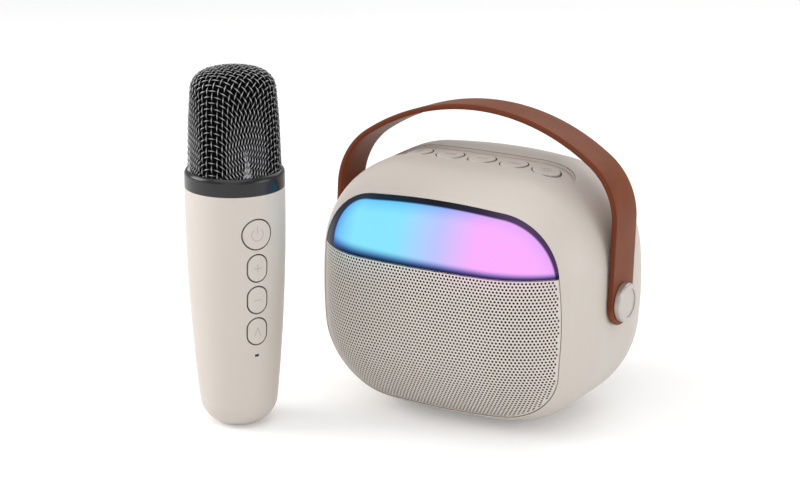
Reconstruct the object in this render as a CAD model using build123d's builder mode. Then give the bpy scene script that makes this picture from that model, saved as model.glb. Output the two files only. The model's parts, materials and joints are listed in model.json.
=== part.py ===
"""Portable karaoke speaker with its wireless microphone, in millimetres.

The speaker faces -Y and stands on its rubber pad, whose underside is the origin, with +Z up.
The microphone stands on the same surface, in front of the speaker and to its left.
"""
from build123d import *
import os
from functools import cache
from math import cos, radians, sin, sqrt

os.makedirs("parts", exist_ok=True)

# ---- Driving dimensions: cabinet ----
cabinet_half_width = 66.2
cabinet_half_height = 55.7
cabinet_half_depth = 57.0
corner_radius = 41.6            # corners seen from the front
side_bow_radius = 350.0         # the sides bulge outwards
crown_bow_radius = 900.0        # so do the top and the bottom
front_dome_radius = 330.0
rear_dome_radius = 125.0
edge_rounding = 40.4            # between the sides and the domed front and rear
wall = 2.6
parting_y = 34.0                # the shell and the rear cover meet here

# ---- Rubber pad ----
pad_length = 56.0
pad_width = 42.0
pad_corner = 12.0
pad_proud = 1.2                 # how far the cabinet stands off the table
pad_seat = 1.0                  # how deep the pad sits in the shell
pad_edge = 0.5
pad_gap = 0.2

# ---- Front opening, grille and light panel ----
opening_half_width = 58.1
opening_half_height = 47.6
opening_corner = 23.1
opening_bow_radius = 314.0
opening_drop = 2.1              # its centre is this far under the cabinet's
skin_seat = 1.6                 # depth of the rebate that the grille and lens lie in
lip_rounding = 0.8
ledge = 2.5                     # width of the ledge behind their edges
skin_gap = 0.25                 # around the grille and the lens
grille_inset = 0.45
grille_thickness = 0.8
grille_return = 0.8             # the edge of the sheet is folded back to the ledge
lens_inset = 0.35
lens_thickness = 1.0
seam_height = 75.5              # where the grille ends and the lens begins
seam_gap = 0.3                  # from that line to each of them
diffuser_thickness = 1.0
diffuser_gap = 0.3
crossbar_half_height = 2.2      # the shell's bar behind the seam
shroud_wall = 1.2
shroud_gap = 0.3
led_board_thickness = 1.2
led_count = 8
led_pitch = 10.2
led_size = 5.0
led_thickness = 1.6
led_board_height = 8.0
led_board_gap = 0.4

# ---- Key strip on top ----
key_count = 5
key_pitch = 15.7
key_diameter = 12.0
key_travel = 0.6
key_strip_y = -2.9
key_strip_half_length = 44.0
key_strip_width = 18.0
key_strip_depth = 1.4
key_strip_rounding = 0.6
key_raise = 0.5                 # key tops above the strip's floor
key_rounding = 0.4
key_gap = 0.25
key_flange = 0.9                # flange beyond the key's own radius
key_flange_gap = 0.3
key_stem_diameter = 3.0
key_stem_length = 0.8
key_board_drop = 10.6           # from the crown's top to the board's
key_board_thickness = 1.6
key_board_half_length = 44.5
key_board_width = 14.0
board_post_x = 41.5
board_post_diameter = 4.6
switch_size = 4.6
switch_height = 3.1
switch_plunger_diameter = 2.4
switch_plunger_height = 0.6
switch_clearance = 0.2

# ---- Handle ----
pivot_y = -3.5
pivot_height = 57.7
handle_lean = 4.1               # degrees that the handle leans back at rest
strap_width = 20.5
strap_thickness = 2.4
strap_gap = 0.3                 # strap to cabinet, and strap to knob
strap_reach = 77.9              # pivot to the top of the arch
strap_crown_radius = 96.5
strap_corner_radius = 31.7
strap_edge = 0.5
knob_diameter = 17.0
knob_thickness = 2.9
knob_edge = 0.9
knob_dish_diameter = 12.6
knob_dish_depth = 0.35
pin_diameter = 6.0
pin_length = 12.5               # from under the knob's head
pin_clearance = 0.05
eyelet_wall = 1.0
eyelet_fit = 0.02
eyelet_proud = 0.1
insert_diameter = 9.0
insert_length = 7.0
insert_cover = 1.0              # boss between the insert and the wall
boss_wall = 2.2

# ---- Loudspeaker driver ----
baffle_front = -32.5
baffle_thickness = 2.5
baffle_clearance = 0.15
baffle_overlap = 0.5            # beyond the opening's outline
baffle_rim = 1.8
post_diameter = 8.0
post_x = 45.0
post_z = 34.0                   # above and below the cabinet's centre
post_web = 2.0
driver_height = 40.0
driver_flange_radius = 29.0
driver_flange_thickness = 1.0
driver_hole_radius = 26.5
basket_wall = 1.0
basket_mouth_radius = 25.8
basket_base_radius = 15.5
basket_depth = 13.0
basket_bore_radius = 9.0
basket_arm = 7.0
basket_window_inner = 17.5
basket_window_outer = 24.0
basket_rim = 3.5
surround_inner_radius = 21.6
surround_roll_radius = 1.9
surround_thickness = 0.6
surround_lip_radius = 28.4
cone_gap = 0.15                 # running gap at the cone's rim and at the coil
cone_thickness = 0.6
cone_depth = 5.8
cone_rim = 1.2                  # its front edge lies this far before the baffle
coil_radius = 7.0
coil_wall = 0.35
coil_length = 12.4
dust_cap_radius = 9.0
dust_cap_height = 3.0
spider_thickness = 0.5
spider_behind_baffle = 11.0
spider_radius = 17.45
spider_wave = 0.5
spider_waves = 3
pole_radius = 6.2
pole_gap_radius = 7.7
top_plate_radius = 14.5
top_plate_thickness = 3.0
magnet_radius = 17.0
magnet_thickness = 8.0
magnet_edge = 0.8
back_plate_thickness = 3.0

# ---- Battery, main board and rear ports ----
battery_diameter = 18.4
battery_length = 65.0
battery_y = 18.0
battery_tip_diameter = 6.0
battery_tip_height = 0.8
battery_edge = 0.8
chassis_half_width = 30.0
chassis_front = 2.0
chassis_rear = 46.0
chassis_floor = 1.6
chassis_gap = 0.2
rail_thickness = 2.4
rail_below_battery_centre = 1.0
battery_gap = 0.4
board_half_width = 26.0
board_front = 3.0
board_rear_gap = 0.3            # to the floor of the port plate's pocket
board_thickness = 1.6
chip_size = 9.0
amplifier_x = -8.0
amplifier_y = 22.0
processor_x = 9.0
processor_y = 26.0
chip_height = 1.2
capacitor_diameter = 6.3
capacitor_height = 7.0
capacitor_pitch = 8.0
capacitor_row_x = -6.0
capacitor_from_edge = 6.0       # their centres from the board's front edge
board_stand_x = 21.0
board_stand_front = 8.0
board_stand_rear = 35.0
board_stand_diameter = 5.0
port_height = 40.0
plate_length = 38.0
plate_width = 11.0
plate_thickness = 1.6
plate_face_y = 53.0
plate_gap = 0.15
plate_corner = 3.0
plate_floor = 1.8
plate_margin = 2.0
usb_x = -8.5
usb_width = 9.0
usb_height = 3.2
usb_depth = 7.4
usb_wall = 0.3
usb_tongue = 0.7
card_x = 8.5
card_width = 14.0
card_depth = 15.0
card_height = 1.9
card_wall = 0.8
card_slot_width = 11.4
card_slot_height = 0.9
port_gap = 0.2

# ---- Screws ----
screw_diameter = 3.0
screw_head_diameter = 5.6
screw_head_height = 2.0
screw_length = 10.0
short_screw_length = 6.0
screw_pilot_gap = 0.02
screw_head_gap = 0.3
screw_slot_width = 0.8
screw_slot_depth = 0.8
cover_screw_floor = 1.5         # plastic left under each rear screw's head

# ---- Microphone ----
mic_x = -79.1
mic_y = -77.2
mic_turn = 59.2                 # degrees that its keys face away from the speaker's front
mic_foot_radius = 15.6          # where the side line meets the table, before rounding
mic_belly_radius = 20.14        # half way up
mic_shoulder_radius = 21.4
mic_shoulder_height = 106.3
mic_foot_rounding = 12.5
mic_wall = 2.2
mic_neck_radius = 19.1
mic_neck_bore_radius = 17.3
mic_neck_height = 5.5
mic_shelf_height = 103.0        # top of the shelf inside, where the chassis hangs
mic_shelf_thickness = 1.5
mic_shelf_bore_radius = 15.6
collar_height = 8.0
collar_edge = 2.4
collar_throat_radius = 17.2
collar_gap = 0.1
mesh_base_radius = 20.1         # at the collar's top
mesh_side_radius = 19.4
mesh_side_height = 135.0
mesh_corner_radius = 18.0       # where its side would meet its dome
mesh_corner_height = 154.0
mesh_corner_rounding = 9.0
mesh_dome_radius = 45.0
mesh_height = 158.0
mesh_thickness = 1.0
mesh_seat = 1.2                 # depth of the groove that it stands in
mesh_gap = 0.1
foam_gap = 0.3
foam_thickness = 3.0
capsule_diameter = 14.0
capsule_height = 8.0
capsule_base = 120.0
capsule_edge = 0.5
capsule_gap = 0.02
cup_stem_radius = 4.0
cup_wall = 1.6
cup_floor = 1.6
cup_grip = 4.0
mic_disc_thickness = 2.0
mic_disc_gap = 0.2
mic_lower_disc = 22.0
mic_lower_disc_radius = 15.0
mic_spine_width = 9.0
mic_spine_thickness = 2.4
mic_board_width = 21.0
mic_board_thickness = 1.2
mic_board_face = 10.6           # distance of its front face from the axis
mic_battery_diameter = 14.2
mic_battery_length = 50.0
mic_battery_base = 36.0
mic_battery_gap = 0.3
power_key_diameter = 12.7
power_key_height = 89.7
oval_key_width = 8.5
oval_key_height = 11.6
oval_key_top = 74.8             # height of the uppermost oval key's centre
oval_key_pitch = 14.2
mic_key_raise = 0.35
mic_key_gap = 0.25
mic_key_flange = 1.0
mic_key_flange_gap = 0.3
mic_key_back = 14.6             # distance of the flange's back from the axis
mic_key_travel = 0.6
mic_key_rounding = 0.3
mic_key_stem_diameter = 2.4
mic_switch_height = 2.0
mic_light_height = 35.3
mic_light_width = 1.9
mic_light_tall = 1.2
mic_light_gap = 0.05
mic_light_sink = 0.1
mic_light_foot = 0.8            # how far its foot stands out round it, behind the wall
mic_usb_recess = 0.8
mic_usb_gap = 0.3
charge_board_radius = 11.5
charge_board_thickness = 1.2
charge_post_x = 8.0
charge_post_radius = 1.5

# ---- Places that follow from them ----
cabinet_centre = cabinet_half_height + pad_proud
opening_centre = cabinet_centre - opening_drop
opening_top = opening_centre + opening_half_height
front = Plane(origin=(0, 0, cabinet_centre), x_dir=(1, 0, 0), z_dir=(0, -1, 0))
opening_front = Plane(origin=(0, 0, opening_centre), x_dir=(1, 0, 0), z_dir=(0, -1, 0))
beyond = 20.0                   # how far a cut runs past the cabinet
touch = 0.001                   # nearer than this, two things touch


def bowed_outline(half_width, half_height, corner, side_radius, crown_radius):
    """A rounded rectangle whose four sides bulge outwards."""
    with BuildSketch(Plane.XY) as outline:
        with Locations((half_width - side_radius, 0)):
            Circle(side_radius)
        with Locations((side_radius - half_width, 0)):
            Circle(side_radius, mode=Mode.INTERSECT)
        with Locations((0, half_height - crown_radius)):
            Circle(crown_radius, mode=Mode.INTERSECT)
        with Locations((0, crown_radius - half_height)):
            Circle(crown_radius, mode=Mode.INTERSECT)
        fillet(outline.vertices(), corner)
    return outline.sketch


@cache
def pillow(inset=0.0):
    """The cabinet's whole form, or the same form with its surface set in all round."""
    with BuildPart() as form:
        with BuildSketch(front):
            add(bowed_outline(cabinet_half_width - inset, cabinet_half_height - inset,
                              corner_radius - inset, side_bow_radius - inset,
                              crown_bow_radius - inset))
        extrude(amount=cabinet_half_depth + beyond, both=True)
        with Locations((0, front_dome_radius - cabinet_half_depth, cabinet_centre)):
            Sphere(front_dome_radius - inset, mode=Mode.INTERSECT)
        with Locations((0, cabinet_half_depth - rear_dome_radius, cabinet_centre)):
            Sphere(rear_dome_radius - inset, mode=Mode.INTERSECT)
        front_rim = form.faces().sort_by(Axis.Y)[0].edges()
        fillet(front_rim, edge_rounding - inset)
        rear_rim = form.faces().sort_by(Axis.Y)[-1].edges()
        fillet(rear_rim, edge_rounding - inset)
    return form.part


def opening_outline(margin=0.0):
    """The front opening's outline, drawn in by a margin."""
    return bowed_outline(opening_half_width - margin, opening_half_height - margin,
                         opening_corner - margin, opening_bow_radius - margin,
                         opening_bow_radius - margin)


def band_of_opening(margin, bottom, top):
    """The opening's outline with a margin, between two heights above the table."""
    with BuildSketch(Plane.XY) as band:
        add(opening_outline(margin))
        with Locations((0, (bottom + top) / 2 - opening_centre)):
            Rectangle(4 * opening_half_width, top - bottom, mode=Mode.INTERSECT)
    return band.sketch


def face_skin(depth, thickness, outline):
    """A sheet of the front that lies under the cabinet's surface and follows it."""
    with BuildPart() as skin:
        with BuildSketch(opening_front):
            add(outline)
        extrude(amount=cabinet_half_depth + beyond)
        add(pillow(depth), mode=Mode.INTERSECT)
        add(pillow(depth + thickness), mode=Mode.SUBTRACT)
    return skin.part


def screw_group(seats, length=screw_length):
    """Pan-head screws as separate solids, each with its head on a seat plane."""
    with BuildPart() as group:
        for seat in seats:
            with BuildSketch(seat):
                Circle(screw_diameter / 2)
            extrude(amount=-length)
            with BuildSketch(seat):
                Circle(screw_head_diameter / 2)
            extrude(amount=screw_head_height)
            with BuildSketch(seat.offset(screw_head_height)):
                Rectangle(screw_head_diameter * 0.6, screw_slot_width)
                Rectangle(screw_slot_width, screw_head_diameter * 0.6)
            extrude(amount=-screw_slot_depth, mode=Mode.SUBTRACT)
    return group.part


def usb_socket(mouth):
    """A charging socket: a rounded metal tube with a tongue, its mouth on a plane."""
    with BuildPart() as socket:
        with BuildSketch(mouth):
            SlotOverall(usb_width, usb_height)
        extrude(amount=-usb_depth)
        with BuildSketch(mouth):
            SlotOverall(usb_width - 2 * usb_wall, usb_height - 2 * usb_wall)
        extrude(amount=usb_wall - usb_depth, mode=Mode.SUBTRACT)
        with BuildSketch(mouth.offset(-usb_depth)):
            Rectangle(usb_width - usb_height, usb_tongue)
        extrude(amount=usb_depth - usb_wall)
    return socket.part


def rim_edges(edges):
    """Those edges that lie on the cabinet's outer surface."""
    surface = pillow().shell()
    return [edge for edge in edges if Vertex(*(edge @ 0.5)).distance_to(surface) < touch]


def finish(block, name):
    """Label a finished piece and write it."""
    block.part.label = name
    export_step(block.part, f"parts/{name}.step")


# ---- Places inside the cabinet ----
behind = Plane(origin=(0, 0, cabinet_centre), x_dir=(-1, 0, 0), z_dir=(0, 1, 0))
baffle_rear = baffle_front + baffle_thickness
corner_posts = [(x, z) for x in (-post_x, post_x) for z in (-post_z, post_z)]
key_places = [(i - (key_count - 1) / 2) * key_pitch for i in range(key_count)]
key_board_top = cabinet_centre + cabinet_half_height - key_board_drop
key_names = ["key_microphone", "key_previous", "key_play", "key_next", "key_light"]
screw_hole = screw_diameter / 2 + screw_pilot_gap
driver = Plane(origin=(0, baffle_front, driver_height), x_dir=(1, 0, 0), z_dir=(0, -1, 0))
driver_axis = Axis((0, 0, driver_height), (0, -1, 0))
driver_section = Plane(origin=(0, baffle_front, driver_height), x_dir=(1, 0, 0), z_dir=(0, 0, 1))
insert_outer = cabinet_half_width - wall - insert_cover
insert_inner = insert_outer - insert_length
board_top = port_height - usb_height / 2
board_rear = plate_face_y - plate_thickness - plate_floor - board_rear_gap
inside_floor = pad_proud + wall + chassis_gap
battery_height = inside_floor + chassis_floor + battery_gap + battery_diameter / 2
board_stands = [(x, y) for x in (-board_stand_x, board_stand_x)
                for y in (board_stand_front, board_stand_rear)]
port_face = Plane(origin=(0, plate_face_y, port_height), x_dir=(-1, 0, 0), z_dir=(0, 1, 0))
card_centre = board_top + card_height / 2 - port_height


def side_plane(side, x):
    """A plane across the handle's pivot at a distance x out, facing outwards."""
    return Plane(origin=(side * x, pivot_y, pivot_height), x_dir=(0, side, 0),
                 z_dir=(side, 0, 0))


# ---- Body shell ----
# Posts that carry the baffle at the front and the rear cover behind, each with a web to its corner.
with BuildPart() as posts:
    with BuildSketch(front.offset(-baffle_rear)):
        for x, z in corner_posts:
            slope = 45 if x * z > 0 else -45
            with Locations(Location((x, z), slope if x > 0 else slope + 180)):
                Rectangle(corner_radius, post_web, align=(Align.MIN, Align.CENTER))
            with Locations((x, z)):
                Circle(post_diameter / 2)
    extrude(amount=baffle_rear - parting_y)
    for side in (-1, 1):
        with BuildSketch(side_plane(side, insert_inner)):
            Circle(insert_diameter / 2 + boss_wall)
        extrude(amount=insert_length + insert_cover + wall)
    with BuildSketch(Plane.XY.offset(key_board_top)):
        with Locations((-board_post_x, key_strip_y), (board_post_x, key_strip_y)):
            Circle(board_post_diameter / 2)
    extrude(amount=cabinet_half_height)
    add(pillow(wall / 2), mode=Mode.INTERSECT)

with BuildPart() as rebate:
    with BuildSketch(opening_front):
        add(opening_outline())
    extrude(amount=cabinet_half_depth + beyond)
    add(pillow(skin_seat), mode=Mode.SUBTRACT)

with BuildPart() as key_strip:
    with BuildSketch(Plane.XY.offset(cabinet_centre)):
        with Locations((0, key_strip_y)):
            SlotOverall(2 * key_strip_half_length, key_strip_width)
    extrude(amount=cabinet_half_height + beyond)
    add(pillow(key_strip_depth), mode=Mode.SUBTRACT)

with BuildPart() as body_shell:
    add(pillow())
    add(pillow(wall), mode=Mode.SUBTRACT)
    add(posts.part)
    with BuildSketch(behind.offset(parting_y)):
        Rectangle(4 * cabinet_half_width, 4 * cabinet_half_height)
    extrude(amount=cabinet_half_depth, mode=Mode.SUBTRACT)
    # rebate for the grille and the lens, then a window behind each, with a bar left between
    add(rebate.part, mode=Mode.SUBTRACT)
    fillet(rim_edges(body_shell.edges(Select.LAST)), lip_rounding)
    with BuildSketch(opening_front.offset(-baffle_front)):
        add(band_of_opening(ledge, 0, seam_height - crossbar_half_height))
        add(band_of_opening(ledge, seam_height + crossbar_half_height, 2 * opening_centre))
    extrude(amount=cabinet_half_depth, mode=Mode.SUBTRACT)
    # key strip, key holes and the pilot holes of the key board's screws
    add(key_strip.part, mode=Mode.SUBTRACT)
    fillet(rim_edges(body_shell.edges(Select.LAST)), key_strip_rounding)
    with BuildSketch(Plane.XY.offset(cabinet_centre)):
        with Locations(*[(x, key_strip_y) for x in key_places]):
            Circle(key_diameter / 2 + key_gap)
    extrude(amount=cabinet_half_height, mode=Mode.SUBTRACT)
    with BuildSketch(Plane.XY.offset(key_board_top)):
        with Locations((-board_post_x, key_strip_y), (board_post_x, key_strip_y)):
            Circle(screw_hole)
    extrude(amount=short_screw_length - key_board_thickness, mode=Mode.SUBTRACT)
    # pilot holes at both ends of the corner posts
    with BuildSketch(front.offset(-baffle_rear)):
        with Locations(*corner_posts):
            Circle(screw_hole)
    extrude(amount=baffle_thickness - screw_length, mode=Mode.SUBTRACT)
    with BuildSketch(front.offset(-parting_y)):
        with Locations(*corner_posts):
            Circle(screw_hole)
    extrude(amount=screw_length - cover_screw_floor, mode=Mode.SUBTRACT)
    # a hole for each handle pin and, behind it, a pocket for its brass insert
    for side in (-1, 1):
        with BuildSketch(side_plane(side, insert_inner)):
            Circle(insert_diameter / 2)
        extrude(amount=insert_length, mode=Mode.SUBTRACT)
        with BuildSketch(side_plane(side, insert_inner)):
            Circle(pin_diameter / 2 + pin_clearance)
        extrude(amount=cabinet_half_width, mode=Mode.SUBTRACT)
    # seat of the rubber pad
    with BuildSketch(Plane.XY):
        RectangleRounded(pad_length, pad_width, pad_corner)
    extrude(amount=pad_proud + pad_seat, mode=Mode.SUBTRACT)
finish(body_shell, "body_shell")

# ---- Rear cover ----
with BuildPart() as cover_inside:
    with BuildSketch(front.offset(-parting_y)):
        with Locations(*corner_posts):
            Circle(post_diameter / 2)
    extrude(amount=-cabinet_half_depth)
    with BuildSketch(port_face.offset(-plate_thickness)):
        RectangleRounded(plate_length + 2 * plate_margin, plate_width + 2 * plate_margin,
                         plate_margin)
    extrude(amount=-plate_floor)
    with BuildSketch(port_face.offset(-plate_thickness)):
        RectangleRounded(plate_length + 2 * plate_margin, plate_width + 2 * plate_margin,
                         plate_margin)
    extrude(amount=plate_thickness)
    add(pillow(wall / 2), mode=Mode.INTERSECT)

with BuildPart() as rear_cover:
    add(pillow())
    add(pillow(wall), mode=Mode.SUBTRACT)
    add(cover_inside.part)
    with BuildSketch(front.offset(-parting_y)):
        Rectangle(4 * cabinet_half_width, 4 * cabinet_half_height)
    extrude(amount=4 * cabinet_half_depth, mode=Mode.SUBTRACT)
    with BuildSketch(behind.offset(parting_y)):
        with Locations(*corner_posts):
            Circle(screw_diameter / 2 + screw_head_gap)
    extrude(amount=cabinet_half_depth, mode=Mode.SUBTRACT)
    with BuildSketch(behind.offset(parting_y + cover_screw_floor)):
        with Locations(*corner_posts):
            Circle(screw_head_diameter / 2 + screw_head_gap)
    extrude(amount=cabinet_half_depth, mode=Mode.SUBTRACT)
    # pocket for the port plate, and the openings behind it
    with BuildSketch(port_face.offset(-plate_thickness)):
        RectangleRounded(plate_length + 2 * plate_gap, plate_width + 2 * plate_gap,
                         plate_corner + plate_gap)
    extrude(amount=beyond, mode=Mode.SUBTRACT)
    with BuildSketch(port_face):
        with Locations((-usb_x, 0)):
            SlotOverall(usb_width + 2 * port_gap, usb_height + 2 * port_gap)
        with Locations((-card_x, card_centre)):
            Rectangle(card_slot_width, card_slot_height)
    extrude(amount=-beyond, mode=Mode.SUBTRACT)
finish(rear_cover, "rear_cover")

cover_screws_at = [Plane(origin=(x, parting_y + cover_screw_floor, cabinet_centre + z),
                         x_dir=(-1, 0, 0), z_dir=(0, 1, 0)) for x, z in corner_posts]
with BuildPart() as cover_screws:
    add(screw_group(cover_screws_at))
finish(cover_screws, "cover_screws")

# ---- Port plate ----
with BuildPart() as port_plate:
    with BuildSketch(port_face):
        RectangleRounded(plate_length, plate_width, plate_corner)
        with Locations((-usb_x, 0)):
            SlotOverall(usb_width + 2 * port_gap, usb_height + 2 * port_gap, mode=Mode.SUBTRACT)
        with Locations((-card_x, card_centre)):
            Rectangle(card_slot_width, card_slot_height, mode=Mode.SUBTRACT)
    extrude(amount=-plate_thickness)
finish(port_plate, "port_plate")

# ---- Rubber pad ----
with BuildPart() as base_pad:
    with BuildSketch(Plane.XY):
        RectangleRounded(pad_length - 2 * pad_gap, pad_width - 2 * pad_gap, pad_corner - pad_gap)
    extrude(amount=pad_proud + pad_seat)
    chamfer(base_pad.faces().sort_by(Axis.Z)[0].edges(), pad_edge)
finish(base_pad, "base_pad")

# ---- Grille: a domed sheet whose edge is folded back onto the ledge ----
grille_outline = band_of_opening(skin_gap, 0, seam_height - seam_gap)
with BuildPart() as grille_fold:
    add(face_skin(grille_inset + grille_thickness, skin_seat - grille_inset - grille_thickness,
                  grille_outline))
    with BuildSketch(opening_front):
        add(band_of_opening(skin_gap + grille_return, 0, seam_height - seam_gap - grille_return))
    extrude(amount=cabinet_half_depth + beyond, mode=Mode.SUBTRACT)

with BuildPart() as grille:
    add(face_skin(grille_inset, grille_thickness, grille_outline))
    add(grille_fold.part)
finish(grille, "grille")

# ---- Light panel: lens, diffuser, shroud, board and LEDs ----
with BuildPart() as light_lens:
    add(face_skin(lens_inset, lens_thickness,
                  band_of_opening(skin_gap, seam_height + seam_gap, 2 * opening_centre)))
finish(light_lens, "light_lens")

light_bottom = seam_height + crossbar_half_height + shroud_gap
with BuildPart() as light_diffuser:
    add(face_skin(lens_inset + lens_thickness + diffuser_gap, diffuser_thickness,
                  band_of_opening(ledge + skin_gap, light_bottom, 2 * opening_centre)))
finish(light_diffuser, "light_diffuser")

with BuildPart() as light_shroud:
    with BuildSketch(opening_front.offset(-baffle_front)):
        add(band_of_opening(ledge + skin_gap, light_bottom, 2 * opening_centre))
        add(band_of_opening(ledge + skin_gap + shroud_wall, light_bottom + shroud_wall,
                            2 * opening_centre), mode=Mode.SUBTRACT)
    extrude(amount=cabinet_half_depth)
    add(pillow(lens_inset + lens_thickness + 2 * diffuser_gap + diffuser_thickness),
        mode=Mode.INTERSECT)
    # room for the heads of the baffle's upper screws
    with BuildSketch(front.offset(-baffle_front)):
        with Locations(*corner_posts):
            Circle(screw_head_diameter / 2 + screw_head_gap)
    extrude(amount=screw_head_height + screw_head_gap, mode=Mode.SUBTRACT)
finish(light_shroud, "light_shroud")

led_board_front = Plane(origin=(0, baffle_front - led_board_thickness,
                                (seam_height + opening_top) / 2),
                        x_dir=(1, 0, 0), z_dir=(0, -1, 0))
with BuildPart() as led_board:
    with BuildSketch(led_board_front):
        RectangleRounded(led_count * led_pitch, led_board_height, 1)
    extrude(amount=-led_board_thickness)
    with BuildSketch(opening_front.offset(-baffle_front)):
        add(opening_outline(ledge + skin_gap + shroud_wall + led_board_gap))
    extrude(amount=led_board_thickness, mode=Mode.INTERSECT)
finish(led_board, "led_board")

with BuildPart() as leds:
    with BuildSketch(led_board_front):
        with GridLocations(led_pitch, 0, led_count, 1):
            Rectangle(led_size, led_size)
    extrude(amount=led_thickness)
    with BuildSketch(led_board_front.offset(led_thickness)):
        with GridLocations(led_pitch, 0, led_count, 1):
            Circle(led_size * 0.4)
    extrude(amount=-led_thickness / 4, mode=Mode.SUBTRACT)
finish(leds, "leds")

# ---- Baffle, with a rim that closes the chamber behind the ledge ----
with BuildPart() as baffle:
    with BuildSketch(opening_front.offset(-baffle_rear)):
        add(opening_outline(-baffle_overlap))
    extrude(amount=cabinet_half_depth)
    with BuildSketch(opening_front.offset(-baffle_front)):
        add(opening_outline(baffle_rim - baffle_overlap))
    extrude(amount=cabinet_half_depth, mode=Mode.SUBTRACT)
    add(pillow(wall + baffle_clearance), mode=Mode.INTERSECT)
    with BuildSketch(driver.offset(-baffle_thickness)):
        Circle(driver_hole_radius)
    extrude(amount=baffle_thickness, mode=Mode.SUBTRACT)
    with BuildSketch(front.offset(-baffle_rear)):
        with Locations(*corner_posts):
            Circle(screw_diameter / 2 + screw_head_gap)
    extrude(amount=baffle_thickness, mode=Mode.SUBTRACT)
finish(baffle, "baffle")

baffle_screws_at = [Plane(origin=(x, baffle_front, cabinet_centre + z), x_dir=(1, 0, 0),
                          z_dir=(0, -1, 0)) for x, z in corner_posts]
with BuildPart() as baffle_screws:
    add(screw_group(baffle_screws_at))
finish(baffle_screws, "baffle_screws")

# ---- Loudspeaker driver, turned about its own axis; its y runs back from the baffle's front ----
basket_rear = baffle_thickness + basket_depth
inner_mouth = basket_mouth_radius - basket_wall
with BuildPart() as driver_basket:
    with BuildSketch(driver_section):
        with BuildLine():
            Polyline((inner_mouth, -driver_flange_thickness),
                     (driver_flange_radius, -driver_flange_thickness),
                     (driver_flange_radius, 0), (basket_mouth_radius, 0),
                     (basket_mouth_radius, baffle_thickness), (basket_base_radius, basket_rear),
                     (basket_bore_radius, basket_rear),
                     (basket_bore_radius, basket_rear - basket_wall),
                     (basket_base_radius - basket_wall, basket_rear - basket_wall),
                     (inner_mouth, baffle_thickness), close=True)
        make_face()
    revolve(axis=driver_axis)
    # windows between the basket's four arms
    with BuildSketch(driver.offset(-basket_rear)):
        Circle(basket_window_outer)
        Circle(basket_window_inner, mode=Mode.SUBTRACT)
        Rectangle(2 * driver_flange_radius, basket_arm, rotation=45, mode=Mode.SUBTRACT)
        Rectangle(2 * driver_flange_radius, basket_arm, rotation=135, mode=Mode.SUBTRACT)
    extrude(amount=basket_rear - basket_rim, mode=Mode.SUBTRACT)
finish(driver_basket, "driver_basket")

with BuildPart() as driver_top_plate:
    with BuildSketch(driver.offset(-basket_rear)):
        Circle(top_plate_radius)
        Circle(pole_gap_radius, mode=Mode.SUBTRACT)
    extrude(amount=-top_plate_thickness)
finish(driver_top_plate, "driver_top_plate")

magnet_front = basket_rear + top_plate_thickness
with BuildPart() as driver_magnet:
    with BuildSketch(driver.offset(-magnet_front)):
        Circle(magnet_radius)
        Circle(basket_bore_radius, mode=Mode.SUBTRACT)
    extrude(amount=-magnet_thickness)
    chamfer(driver_magnet.edges().filter_by(GeomType.CIRCLE).group_by(SortBy.RADIUS)[-1], magnet_edge)
finish(driver_magnet, "driver_magnet")

magnet_rear = magnet_front + magnet_thickness
with BuildPart() as driver_yoke:
    with BuildSketch(driver.offset(-magnet_rear)):
        Circle(top_plate_radius)
    extrude(amount=-back_plate_thickness)
    with BuildSketch(driver.offset(-magnet_rear)):
        Circle(pole_radius)
    extrude(amount=magnet_rear - basket_rear)
finish(driver_yoke, "driver_yoke")

roll_centre = surround_inner_radius + surround_roll_radius
with BuildPart() as driver_surround:
    with BuildSketch(driver_section):
        with Locations((roll_centre, -driver_flange_thickness)):
            Circle(surround_roll_radius)
            Circle(surround_roll_radius - surround_thickness, mode=Mode.SUBTRACT)
            Rectangle(4 * surround_roll_radius, 2 * surround_roll_radius,
                      align=(Align.CENTER, Align.MAX), mode=Mode.INTERSECT)
        with Locations((surround_lip_radius, -driver_flange_thickness)):
            Rectangle(surround_lip_radius - roll_centre - surround_roll_radius
                      + surround_thickness, surround_thickness, align=(Align.MAX, Align.MAX))
    revolve(axis=driver_axis)
finish(driver_surround, "driver_surround")

# The spider is a corrugated cloth ring round the coil.
spider_inner = coil_radius + coil_wall + cone_gap
spider_step = (spider_radius - spider_inner) / (2 * spider_waves)
spider_line = [(spider_inner + i * spider_step,
                spider_behind_baffle + (spider_wave if i % 2 else -spider_wave))
               for i in range(2 * spider_waves + 1)]
with BuildPart() as driver_spider:
    with BuildSketch(driver_section):
        with BuildLine():
            Polyline(*spider_line, *[(x, y + spider_thickness) for x, y in spider_line[::-1]],
                     close=True)
        make_face()
    revolve(axis=driver_axis)
finish(driver_spider, "driver_spider")

cone_radius = surround_inner_radius - cone_gap
with BuildPart() as driver_cone:
    with BuildSketch(driver_section):
        with BuildLine():
            Polyline((cone_radius, -cone_rim), (cone_radius, cone_thickness - cone_rim),
                     (coil_radius, cone_depth - cone_rim + cone_thickness),
                     (coil_radius, cone_depth - cone_rim), close=True)
        make_face()
        with Locations((coil_radius, cone_depth - cone_rim)):
            Rectangle(coil_wall, coil_length, align=(Align.MIN, Align.MIN))
        # dust cap
        cap_y = cone_depth - cone_rim - cone_depth * (dust_cap_radius - coil_radius) / (
            cone_radius - coil_radius)
        with BuildLine():
            cap_front = ThreePointArc((-dust_cap_radius, cap_y), (0, cap_y - dust_cap_height),
                                      (dust_cap_radius, cap_y))
            cap_back = ThreePointArc((-dust_cap_radius, cap_y + cone_thickness),
                                     (0, cap_y + cone_thickness - dust_cap_height),
                                     (dust_cap_radius, cap_y + cone_thickness))
            Line(cap_front @ 0, cap_back @ 0)
            Line(cap_front @ 1, cap_back @ 1)
        make_face()
        with Locations((0, 0)):
            Rectangle(driver_flange_radius, 4 * driver_flange_radius,
                      align=(Align.MIN, Align.CENTER), mode=Mode.INTERSECT)
    revolve(axis=driver_axis)
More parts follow.
